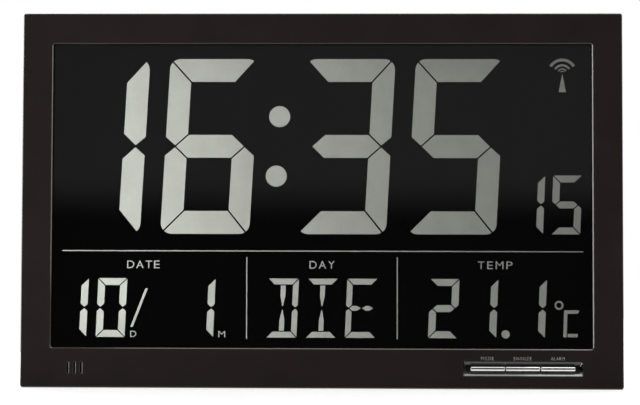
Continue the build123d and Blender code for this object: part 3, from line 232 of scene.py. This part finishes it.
# What is inside: each finish is the part's usual stuff
inside = {
    "Foam, charcoal": (("display_gasket",), {
        "dark": "#141414", "light": "#2a2a2a", "grainMm": 0.5, "cloudMm": 3.0,
        "roughness": 0.95, "roughSpread": 0.04, "bump": 0.9, "bumpMm": 0.15}),
    "Polystyrene, grey": (("lcd_holder",), {
        "dark": "#8c8f90", "light": "#9a9d9e", "grainMm": 0.8, "cloudMm": 20.0,
        "roughness": 0.5, "roughSpread": 0.06, "bump": 0.3, "bumpMm": 0.02}),
    "Silicone elastomer, rose": (("contact_strip",), {
        "dark": "#b97f78", "light": "#c98f86", "grainMm": 0.6, "cloudMm": 5.0,
        "roughness": 0.6, "roughSpread": 0.05, "bump": 0.2, "bumpMm": 0.02}),
    "Epoxy resin, chip black": (("controller_chip",), {
        "dark": "#141516", "light": "#202122", "grainMm": 0.3, "cloudMm": 3.0,
        "roughness": 0.55, "roughSpread": 0.08, "bump": 0.5, "bumpMm": 0.02}),
    "Drawn can, nickel": (("timing_crystal", "supply_capacitor"), {
        "dark": "#a9abad", "light": "#bfc1c3", "grainMm": 0.6, "cloudMm": 4.0,
        "roughness": 0.28, "roughSpread": 0.06, "bump": 0.1, "bumpMm": 0.01, "Metallic": 1.0}),
    "Nylon, black": (("receiver_header", "key_switches"), {
        "dark": "#131313", "light": "#1e1e1e", "grainMm": 0.5, "cloudMm": 4.0,
        "roughness": 0.45, "roughSpread": 0.06, "bump": 0.2, "bumpMm": 0.02}),
    "Acetal, ivory": (("mode_plunger", "snooze_plunger", "alarm_plunger"), {
        "dark": "#d8d3c4", "light": "#e4dfd1", "grainMm": 0.5, "cloudMm": 2.0,
        "roughness": 0.4, "roughSpread": 0.05, "bump": 0.1, "bumpMm": 0.01}),
    "Sintered ferrite": (("antenna_rod",), {
        "dark": "#1c1d1f", "light": "#303133", "grainMm": 0.4, "cloudMm": 6.0,
        "roughness": 0.5, "roughSpread": 0.1, "bump": 0.5, "bumpMm": 0.03}),
    "Polyester, buzzer black": (("alarm_buzzer",), {
        "dark": "#111112", "light": "#1b1b1c", "grainMm": 0.6, "cloudMm": 5.0,
        "roughness": 0.4, "roughSpread": 0.06, "bump": 0.2, "bumpMm": 0.02}),
    "Dipped epoxy, bead": (("temperature_sensor",), {
        "dark": "#20201f", "light": "#3a3835", "grainMm": 0.5, "cloudMm": 1.5,
        "roughness": 0.25, "roughSpread": 0.05, "bump": 0.3, "bumpMm": 0.03}),
    "Nickel-plated spring steel": (("bridge_contact", "positive_contact", "negative_contact"), {
        "dark": "#b4b2ac", "light": "#c6c4be", "grainMm": 0.5, "cloudMm": 5.0,
        "roughness": 0.25, "roughSpread": 0.08, "bump": 0.15, "bumpMm": 0.01, "Metallic": 1.0}),
    "PVC insulation, red": (("battery_lead_positive",), {
        "dark": "#8f1410", "light": "#a81c16", "grainMm": 0.8, "cloudMm": 7.0,
        "roughness": 0.4, "roughSpread": 0.05, "bump": 0.1, "bumpMm": 0.01}),
    "PVC insulation, black": (("battery_lead_negative", "buzzer_leads", "sensor_lead"), {
        "dark": "#101010", "light": "#1a1a1a", "grainMm": 0.8, "cloudMm": 7.0,
        "roughness": 0.4, "roughSpread": 0.05, "bump": 0.1, "bumpMm": 0.01}),
    "PVC insulation, grey": (("antenna_leads", "key_ribbon"), {
        "dark": "#8b8d8f", "light": "#9b9d9f", "grainMm": 0.8, "cloudMm": 7.0,
        "roughness": 0.45, "roughSpread": 0.05, "bump": 0.1, "bumpMm": 0.01}),
    "Zinc-plated steel": (("holder_screws", "board_screws"), {
        "dark": "#8e9194", "light": "#a6a9ac", "grainMm": 0.4, "cloudMm": 3.0,
        "roughness": 0.32, "roughSpread": 0.08, "bump": 0.2, "bumpMm": 0.01, "Metallic": 1.0}),
}
for name, (pieces, look) in inside.items():
    dress(grained(name, look)[0], *pieces)

# Boards: glass-fibre laminate under green lacquer, with the tracks standing a little proud
board = {
    "dark": "#1d4a2b", "light": "#23573a", "grainMm": 1.0, "cloudMm": 15.0,
    "roughness": 0.35, "roughSpread": 0.05, "bump": 0.15, "bumpMm": 0.02, "IOR": 1.55,
}
tracks = {
    "pitchMm": 2.5, "rows": 8, "offset": 0.37, "width": 0.03, "colour": "#2f6b41",
    "bump": 0.6, "bumpMm": 0.05,
}
material, tree, shader, _, bump = grained("Lacquered laminate, green", board)
rows = add(tree, "TexBrick", {"offset": tracks["offset"], "squash": 1.0}, {
    "Vector": add(tree, "Mapping", {}, {
        "Vector": add(tree, "TexCoord").outputs["Object"],
        "Rotation": (radians(90), 0, 0)}).outputs[0],
    "Color1": linear(board["light"]), "Color2": linear(board["dark"]),
    "Mortar": linear(tracks["colour"]), "Scale": 1 / (tracks["pitchMm"] * tracks["rows"] * mm),
    "Mortar Size": tracks["width"], "Brick Width": 1.0, "Row Height": 1 / tracks["rows"]})
tree.links.new(rows.outputs["Color"], shader.inputs["Base Color"])
raised = add(tree, "Bump", {}, {
    "Strength": tracks["bump"], "Distance": tracks["bumpMm"] * mm,
    "Height": rows.outputs["Fac"], "Normal": bump.outputs[0]})
tree.links.new(raised.outputs[0], shader.inputs["Normal"])
dress(material, "main_board", "receiver_board", "key_board")

# Antenna coil: enamelled copper wire, turn beside turn
winding = {
    "dark": "#8a4a22", "light": "#a45c2c", "grainMm": 0.5, "cloudMm": 6.0,
    "roughness": 0.3, "roughSpread": 0.05, "bump": 0.1, "bumpMm": 0.01, "Metallic": 1.0,
}
wire = {"turnMm": 0.6, "bump": 0.9, "bumpMm": 0.15}
waveLength = 0.314  # the wave texture's own length at a scale of 1
material, tree, shader, _, bump = grained("Enamelled copper wire", winding)
turns = add(tree, "TexWave", {"wave_type": "BANDS", "bands_direction": "X"}, {
    "Vector": add(tree, "TexCoord").outputs["Object"],
    "Scale": waveLength / (wire["turnMm"] * mm)})
ridges = add(tree, "Bump", {}, {
    "Strength": wire["bump"], "Distance": wire["bumpMm"] * mm,
    "Height": turns.outputs["Fac"], "Normal": bump.outputs[0]})
tree.links.new(ridges.outputs[0], shader.inputs["Normal"])
dress(material, "antenna_coil")

# Cells: a printed film round a nickel can, with a pale ring at the nub end
sleeve = {
    "dark": "#20242a", "light": "#2a2f36", "grainMm": 0.8, "cloudMm": 10.0,
    "roughness": 0.3, "roughSpread": 0.04, "bump": 0.1, "bumpMm": 0.01, "IOR": 1.5,
}
bands = {"nubMm": 1.3, "ringMm": 9.0, "bareMm": 1.6, "ring": "#b9792f", "can": "#b9bbbd"}
for name, turn in (("battery_cell_upper", 1), ("battery_cell_lower", -1)):  # 1: nub towards +x
    low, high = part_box(name)
    nub, foot = (high.x, low.x) if turn > 0 else (low.x, high.x)
    shoulder = nub - turn * bands["nubMm"] * mm
    material, tree, shader, *_ = grained("Film-sleeved cell " + name.split("_")[-1], sleeve)
    along = add(tree, "SeparateXYZ", {}, {0: add(tree, "TexCoord").outputs["Object"]})
    fromNub = add(tree, "Math", {"operation": "MULTIPLY"}, {
        0: add(tree, "Math", {"operation": "SUBTRACT"}, {
            0: shoulder, 1: along.outputs["X"]}).outputs[0], 1: turn})
    ring = add(tree, "Math", {"operation": "LESS_THAN"}, {
        0: fromNub.outputs[0], 1: bands["ringMm"] * mm})
    topBare = add(tree, "Math", {"operation": "LESS_THAN"}, {
        0: fromNub.outputs[0], 1: bands["bareMm"] * mm})
    footBare = add(tree, "Math", {"operation": "GREATER_THAN"}, {
        0: fromNub.outputs[0], 1: abs(shoulder - foot) - bands["bareMm"] * mm})
    bare = add(tree, "Math", {"operation": "MAXIMUM"}, {
        0: topBare.outputs[0], 1: footBare.outputs[0]})
    film = shader.inputs["Base Color"].links[0].from_socket
    ringed = add(tree, "Mix", {"data_type": "RGBA"}, {
        0: ring.outputs[0], 6: film, 7: linear(bands["ring"])})
    whole = add(tree, "Mix", {"data_type": "RGBA"}, {
        0: bare.outputs[0], 6: ringed.outputs[2], 7: linear(bands["can"])})
    tree.links.new(whole.outputs[2], shader.inputs["Base Color"])
    tree.links.new(bare.outputs[0], shader.inputs["Metallic"])
    dress(material, name)
print("inside dressed")


# a finished bmesh as a piece of the scene
def newPiece(name, shape):
    mesh = bpy.data.meshes.new(name)
    shape.to_mesh(mesh)
    shape.free()
    piece = bpy.data.objects.new(name, mesh)
    bpy.context.scene.collection.objects.link(piece)
    return piece


# one of several like shapes, added to the bmesh that holds them all
def joinShape(joined, one):
    mesh = bpy.data.meshes.new("one")
    one.to_mesh(mesh)
    one.free()
    joined.from_mesh(mesh)
    bpy.data.meshes.remove(mesh)


lettering = {"extrude": 0.01, "resolution": 4}
# letter widths as shares of the cap height
letterShares = {
    "A": 0.97, "D": 0.94, "E": 0.75, "L": 0.7, "M": 1.02, "N": 0.9, "O": 1.0, "P": 0.82,
    "R": 0.84, "S": 0.8, "T": 0.84, "Y": 0.85, "Z": 0.8,
}


# one letter as a thin mesh, fitted to its cap height and width
def letterMesh(letter, widthMm, capMm, look):
    curve = bpy.data.curves.new("letter", "FONT")
    curve.body = letter
    curve.extrude = lettering["extrude"]
    curve.offset = -look["thinned"]
    curve.resolution_u = lettering["resolution"]
    holder = bpy.data.objects.new("letter", curve)
    bpy.context.scene.collection.objects.link(holder)
    bpy.context.view_layer.update()
    shown = holder.evaluated_get(bpy.context.evaluated_depsgraph_get())
    mesh = bpy.data.meshes.new_from_object(shown)
    bpy.data.objects.remove(holder)
    spots = [vertex.co for vertex in mesh.vertices]
    low = [min(spot[axis] for spot in spots) for axis in range(3)]
    high = [max(spot[axis] for spot in spots) for axis in range(3)]
    fit = Matrix.Diagonal([
        size * mm / (high[axis] - low[axis])
        for axis, size in enumerate((widthMm, capMm, look["liftMm"]))] + [1.0])
    mesh.transform(fit @ Matrix.Translation([-value for value in low]))
    return mesh


# a printed word, spaced out to its width on a plane facing the front
def printedWord(name, words, centreX, footZ, capMm, widthMm, planeY, look):
    widths = [letterShares[letter] * look["narrow"] * capMm for letter in words]
    if len(words) == 1:
        widths = [widthMm]
    gap = (widthMm - sum(widths)) / max(len(words) - 1, 1)
    joined = bmesh.new()
    startX = centreX - widthMm / 2
    for letter, width in zip(words, widths):
        mesh = letterMesh(letter, width, capMm, look)
        # x stays x, the letter's y turns to z, and its thickness to depth
        mesh.transform(Matrix.Translation((startX * mm, planeY, footZ * mm))
                       @ Matrix.Rotation(radians(90), 4, "X"))
        joined.from_mesh(mesh)
        bpy.data.meshes.remove(mesh)
        startX += width + gap
    return newPiece(name, joined)


# Words printed on the display and over the keys, plain capitals. Each has its name, its
# letters, the x of its middle, the z of its foot, its cap height and its width.
displayWords = {
    "words": (
        ("label_date", "DATE", -106.9, 71.3, 4.6, 19.6),
        ("label_day", "DAY", 0.5, 71.3, 4.6, 15.1),
        ("label_temperature", "TEMP", 104.1, 71.3, 4.6, 20.7),
        ("label_d", "D", -112.7, 30.1, 3.7, 3.6),
        ("label_m", "M", -59.5, 30.1, 3.75, 4.1),
    ),
    "liftMm": 0.05, "narrow": 1.0, "thinned": 0.0,
}
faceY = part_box("lcd_front_glass")[0].y
for name, words, centreX, footZ, capMm, widthMm in displayWords["words"]:
    piece = printedWord(name, words, centreX, footZ, capMm, widthMm, faceY, displayWords)
    piece.data.materials.append(inkMaterial)
    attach(piece, "case")

keyWords = {
    "words": (
        ("label_mode", "MODE", 99.0, 17.25, 1.9, 7.5),
        ("label_snooze", "SNOOZE", 119.9, 17.25, 1.9, 10.8),
        ("label_alarm", "ALARM", 140.7, 17.25, 1.9, 8.1),
    ),
    "liftMm": 0.005, "narrow": 0.74, "thinned": 0.02,
    "dark": "#a8a6a3", "light": "#b4b2af", "grainMm": 0.4, "cloudMm": 5.0,
    "roughness": 0.6, "roughSpread": 0.05, "bump": 0.1, "bumpMm": 0.002,
}
keyInk = grained("Grey pad-printing ink", keyWords)[0]
faceY = cadBox[0].y
for name, words, centreX, footZ, capMm, widthMm in keyWords["words"]:
    piece = printedWord(name, words, centreX, footZ, capMm, widthMm, faceY, keyWords)
    piece.data.materials.append(keyInk)
    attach(piece, "case")
print("words printed")

# Case screws: pan heads with a cross recess, seen at the bottom of the wells of the back
caseScrew = {
    "xMm": (-170.5, -54.4, 54.4, 170.5), "zMm": (9.5, 215.2), "seatY": 9.5,
    "shank": 1.4, "length": 10.0, "head": 2.8, "height": 2.0, "flat": 1.75,
    "tip": 0.5, "side": 0.42, "shoulder": (0.93, 0.72),  # shares of shank, height and head
    "armLength": 1.5, "armWidth": 0.42, "recess": 1.1, "taper": 0.72, "steps": 28,
    "merge": 0.001, "turnByZ": 3,
    "dark": "#54575a", "light": "#6b6e71", "grainMm": 0.4, "cloudMm": 3.0,
    "roughness": 0.34, "roughSpread": 0.08, "bump": 0.2, "bumpMm": 0.01, "Metallic": 1.0,
}


def screwMesh(screw):
    shape = bmesh.new()
    profile = (
        (0.0, -screw["length"]), (screw["shank"] * screw["tip"], -screw["length"]),
        (screw["shank"], -screw["length"] + screw["shank"]), (screw["shank"], 0.0),
        (screw["head"], 0.0), (screw["head"], screw["height"] * screw["side"]),
        (screw["head"] * screw["shoulder"][0], screw["height"] * screw["shoulder"][1]),
        (screw["flat"], screw["height"]))
    line = [shape.verts.new((x * mm, 0, z * mm)) for x, z in profile]
    edges = [shape.edges.new(pair) for pair in zip(line, line[1:])]
    bmesh.ops.spin(shape, geom=line + edges, cent=(0, 0, 0), axis=(0, 0, 1),
                   angle=radians(360), steps=screw["steps"], use_merge=True)
    near = screw["merge"] * mm
    bmesh.ops.remove_doubles(shape, verts=shape.verts, dist=near)
    top = screw["height"] * mm
    rim = [edge for edge in shape.edges
           if edge.is_boundary and all(abs(v.co.z - top) < near for v in edge.verts)]
    # the cross, from its four arms
    long, half = screw["armLength"], screw["armWidth"]
    corners = ((half, half), (half, long), (-half, long), (-half, half), (-long, half),
               (-long, -half), (-half, -half), (-half, -long), (half, -long), (half, -half),
               (long, -half), (long, half))
    cross = [shape.verts.new((x * mm, y * mm, top)) for x, y in corners]
    sides = [shape.edges.new(pair) for pair in zip(cross, cross[1:] + cross[:1])]
    bmesh.ops.bridge_loops(shape, edges=rim + sides)
    walls = bmesh.ops.extrude_edge_only(shape, edges=sides)["geom"]
    bottom = [part for part in walls if isinstance(part, bmesh.types.BMVert)]
    bmesh.ops.scale(shape, vec=(screw["taper"], screw["taper"], 1.0), verts=bottom)
    bmesh.ops.translate(shape, vec=(0, 0, -screw["recess"] * mm), verts=bottom)
    bmesh.ops.contextual_create(
        shape, geom=[part for part in walls if isinstance(part, bmesh.types.BMEdge)])
    bmesh.ops.recalc_face_normals(shape, faces=shape.faces)
    return shape


joined = bmesh.new()
for x in caseScrew["xMm"]:
    for z in caseScrew["zMm"]:
        one = screwMesh(caseScrew)
        # each cross stands as its screw was left by the driver
        driven = Matrix.Rotation(radians(x + caseScrew["turnByZ"] * z), 4, "Z")
        turn = Matrix.Rotation(radians(-90), 4, "X") @ driven
        bmesh.ops.transform(one, verts=one.verts, matrix=Matrix.Translation(
            (x * mm, caseScrew["seatY"] * mm, z * mm)) @ turn)
        joinShape(joined, one)
screws = newPiece("case_screws_cross", joined)
screws.data.materials.append(grained("Blackened steel", caseScrew)[0])
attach(screws, "case")
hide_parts("case_screws")
print("screws made")

# Slot lips: the rims of the air slots, flatter than a plain bevel and smooth from the tool
slotLip = {
    "xMm": (-151.4, -147.4, -143.4), "zMm": 11.925, "halfLength": 3.0,
    "inner": 0.5, "outer": 0.95, "slope": 36.0, "sunk": 0.03, "steps": 48, "merge": 0.0005,
    "dark": "#1d1817", "light": "#251f1d", "grainMm": 0.7, "cloudMm": 8.0,
    "roughness": 0.22, "roughSpread": 0.04, "bump": 0.1, "bumpMm": 0.01,
    "IOR": 1.53, "Specular IOR Level": 0.25,
}
frontMm = cadBox[0].y / mm
rim = slotLip["outer"] - slotLip["inner"]
profile = (
    (slotLip["outer"], frontMm),
    (slotLip["inner"], frontMm + rim * tan(radians(slotLip["slope"]))),
    (slotLip["inner"] + slotLip["sunk"], frontMm + rim + slotLip["sunk"]),
    (slotLip["outer"] + slotLip["sunk"], frontMm + slotLip["sunk"]),
)
joined = bmesh.new()
for x in slotLip["xMm"]:
    one = bmesh.new()
    line = [one.verts.new((reach * mm, y * mm, 0)) for reach, y in profile]
    edges = [one.edges.new(pair) for pair in zip(line, line[1:] + line[:1])]
    # half a step aside, so that the ring parts evenly into its two ends
    bmesh.ops.rotate(one, verts=line, cent=(0, 0, 0), matrix=Matrix.Rotation(
        radians(180 / slotLip["steps"]), 3, "Y"))
    bmesh.ops.spin(one, geom=line + edges, cent=(0, 0, 0), axis=(0, 1, 0),
                   angle=radians(360), steps=slotLip["steps"], use_merge=True)
    bmesh.ops.remove_doubles(one, verts=one.verts, dist=slotLip["merge"] * mm)
    for side in (1, -1):
        bmesh.ops.translate(one, verts=[v for v in one.verts if v.co.z * side > 0],
                            vec=(0, 0, side * slotLip["halfLength"] * mm))
    bmesh.ops.translate(one, verts=one.verts, vec=(x * mm, 0, slotLip["zMm"] * mm))
    bmesh.ops.recalc_face_normals(one, faces=one.faces)
    joinShape(joined, one)
lips = newPiece("slot_lips", joined)
lips.data.materials.append(grained("Smooth ABS, brown-black", slotLip)[0])
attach(lips, "case")
print("slot lips made")

# Floor: plain white board under the clock, which also glows. Its glow is dimmer near the clock's
# foot, a painted shade round the foot that lets the lamps' shadow show there, and it fades up to
# the white of the backdrop further out; in mirrors it glows evenly.
floorBoard = {
    "left": -0.27, "right": 1.4, "front": -0.17, "back": 1.6, "drop": 0.0002,
    "nearGlow": 0.5, "farGlow": 1.0, "fade": (0.06, 0.28), "squeeze": (0.35, 1.0, 0.0),
    "mirrored": 0.84, "colour": "#b8b8b8", "roughness": 0.8, "Specular IOR Level": 0.2,
}
shape = bmesh.new()
bmesh.ops.create_grid(shape, x_segments=1, y_segments=1, size=0.5)
bmesh.ops.scale(shape, verts=shape.verts, vec=(
    floorBoard["right"] - floorBoard["left"], floorBoard["back"] - floorBoard["front"], 1.0))
bmesh.ops.translate(shape, verts=shape.verts, vec=(
    (floorBoard["left"] + floorBoard["right"]) / 2,
    (floorBoard["front"] + floorBoard["back"]) / 2, -floorBoard["drop"]))
floor = newPiece("floor", shape)
material, tree, shader = newMaterial("White board with painted glow")
shader.inputs["Base Color"].default_value = linear(floorBoard["colour"])
shader.inputs["Roughness"].default_value = floorBoard["roughness"]
shader.inputs["Specular IOR Level"].default_value = floorBoard["Specular IOR Level"]
path = add(tree, "LightPath")
mirrored = add(tree, "Math", {"operation": "MAXIMUM"}, {
    0: path.outputs["Is Glossy Ray"], 1: path.outputs["Is Transmission Ray"]})
squeezed = add(tree, "VectorMath", {"operation": "MULTIPLY"}, {
    0: add(tree, "TexCoord").outputs["Object"], 1: floorBoard["squeeze"]})
away = add(tree, "VectorMath", {"operation": "LENGTH"}, {0: squeezed.outputs[0]})
# painted shade: the floor's glow is dimmer near the clock's foot than further out
seen = add(tree, "MapRange", {"interpolation_type": "SMOOTHSTEP"}, {
    "Value": away.outputs["Value"], "From Min": floorBoard["fade"][0],
    "From Max": floorBoard["fade"][1], "To Min": floorBoard["nearGlow"],
    "To Max": floorBoard["farGlow"]})
inMirrors = add(tree, "Math", {"operation": "MULTIPLY"}, {
    0: mirrored.outputs[0], 1: floorBoard["mirrored"]})
strength = add(tree, "Math", {"operation": "MULTIPLY_ADD"}, {
    0: path.outputs["Is Camera Ray"], 1: seen.outputs[0], 2: inMirrors.outputs[0]})
glow = add(tree, "Emission", {}, {"Color": (1, 1, 1, 1), "Strength": strength.outputs[0]})
both = add(tree, "AddShader", {}, {0: shader.outputs[0], 1: glow.outputs[0]})
tree.links.new(both.outputs[0], tree.nodes["Material Output"].inputs["Surface"])
floor.data.materials.append(material)

# Studio: white all round to the camera; mirrors see a dark room and table in front, a grey
# wall above the lens, a bright ceiling and the white backdrop; all else gets a soft grey
studio = {
    "ambient": 0.3, "dark": 0.012, "wall": 0.1, "ceiling": 0.75, "table": 0.06,
    "wallEdge": (0.03, 0.06), "ceilingEdge": (0.4, 0.8), "backEdge": (-0.05, 0.35),
    "tableEdge": (-0.1, -0.35), "backdrop": 1.0,
}
world = bpy.data.worlds.new("Studio")
bpy.context.scene.world = world
world.use_nodes = True
tree = world.node_tree
tree.nodes.clear()
way = add(tree, "SeparateXYZ", {}, {0: add(tree, "TexCoord").outputs["Generated"]})
shade = add(tree, "MapRange", {"interpolation_type": "SMOOTHSTEP"}, {
    "Value": way.outputs["Z"], "From Min": studio["wallEdge"][0],
    "From Max": studio["wallEdge"][1], "To Min": studio["dark"], "To Max": studio["wall"]})
for axis, edge, level in (
        ("Z", studio["ceilingEdge"], studio["ceiling"]),
        ("Z", studio["tableEdge"], studio["table"]),
        ("Y", studio["backEdge"], studio["backdrop"])):
    share = add(tree, "MapRange", {"interpolation_type": "SMOOTHSTEP"}, {
        "Value": way.outputs[axis], "From Min": edge[0], "From Max": edge[1]})
    shade = add(tree, "Mix", {"data_type": "FLOAT"}, {
        0: share.outputs[0], 2: shade.outputs[0], 3: level})
path = add(tree, "LightPath")
mirrored = add(tree, "Math", {"operation": "MAXIMUM"}, {
    0: path.outputs["Is Glossy Ray"], 1: path.outputs["Is Transmission Ray"]})
soft = add(tree, "Background", {}, {"Color": (1, 1, 1, 1), "Strength": studio["ambient"]})
room = add(tree, "Background", {}, {"Color": (1, 1, 1, 1), "Strength": shade.outputs[0]})
white = add(tree, "Background", {}, {"Color": (1, 1, 1, 1), "Strength": studio["backdrop"]})
other = add(tree, "MixShader", {}, {
    0: mirrored.outputs[0], 1: soft.outputs[0], 2: room.outputs[0]})
whole = add(tree, "MixShader", {}, {
    0: path.outputs["Is Camera Ray"], 1: other.outputs[0], 2: white.outputs[0]})
add(tree, "OutputWorld", {}, {"Surface": whole.outputs[0]})

# Lamps: a tall soft box at the left, strips beside the clock for its edges, soft boxes
# overhead for the keys, and three behind for the back
lamps = {
    "left_softbox": {
        "at": (-0.532, -1.312, 0.09), "width": 0.2, "height": 1.0, "watts": 9.9, "screened": True},
    "left_strip": {"at": (-1.25, -0.06, 0.16), "width": 0.6, "height": 0.75, "watts": 17.0},
    "overhead": {
        "at": (-0.025, -0.22, 1.25), "width": 0.55, "height": 0.46, "watts": 3.0,
        "turn": (0, 0, 0)},
    "overhead_right": {
        "at": (0.575, -0.22, 1.25), "width": 0.65, "height": 0.46, "watts": 6.8,
        "turn": (0, 0, 0)},
    "back_softbox": {"at": (-0.8, 1.2, 0.7), "width": 0.9, "height": 0.7, "watts": 10.0},
    "back_fill": {"at": (1.2, 0.8, 0.35), "width": 0.5, "height": 0.7, "watts": 4.0},
    "back_top": {
        "at": (0.0, 0.4, 1.0), "width": 1.0, "height": 0.2, "watts": 6.0, "turn": (-0.35, 0, 0)},
    "right_strip": {"at": (1.3, -0.27, 0.35), "width": 0.35, "height": 0.6, "watts": 3.5},
}
clockMiddle = (cadBox[0] + cadBox[1]) / 2
# the screened lamp isn't mirrored by what is as smooth as a mirror, as with a filter on the lens
mirrorPieces = (
    "display_window", "lcd_front_glass", "key_panel", "mode_key", "snooze_key", "alarm_key")
sharpMirrors = bpy.data.collections.new("sharp_mirrors")
for name in mirrorPieces:
    sharpMirrors.objects.link(nodes[name])
for entry in sharpMirrors.collection_objects:
    entry.light_linking.link_state = "EXCLUDE"
for name, lamp in lamps.items():
    light = bpy.data.lights.new(name, "AREA")
    light.shape = "RECTANGLE"
    light.size, light.size_y = lamp["width"], lamp["height"]
    light.energy = lamp["watts"]
    holder = bpy.data.objects.new(name, light)
    holder.location = lamp["at"]
    toClock = (clockMiddle - Vector(lamp["at"])).to_track_quat("-Z", "Y").to_euler()
    holder.rotation_euler = lamp.get("turn", toClock)
    holder.visible_camera = False
    bpy.context.scene.collection.objects.link(holder)
    if lamp.get("screened"):
        light.cycles.use_multiple_importance_sampling = False
        holder.light_linking.receiver_collection = sharpMirrors

# Camera: almost square on, a little below the middle and to the right; mm and degrees
view = {
    "at": (20.79, -1015.0, 67.86), "turn": (92.4599, -0.1638, 1.2283), "lens": 94.164,
    "sensor": 36.0,
}
camera = bpy.data.cameras.new("camera")
camera.sensor_fit = "HORIZONTAL"
camera.sensor_width = view["sensor"]
camera.lens = view["lens"]
eye = bpy.data.objects.new("camera", camera)
eye.location = Vector(view["at"]) * mm
eye.rotation_euler = [radians(angle) for angle in view["turn"]]
bpy.context.scene.collection.objects.link(eye)
bpy.context.scene.camera = eye
bpy.context.scene.view_settings.view_transform = "Standard"
print("studio set")
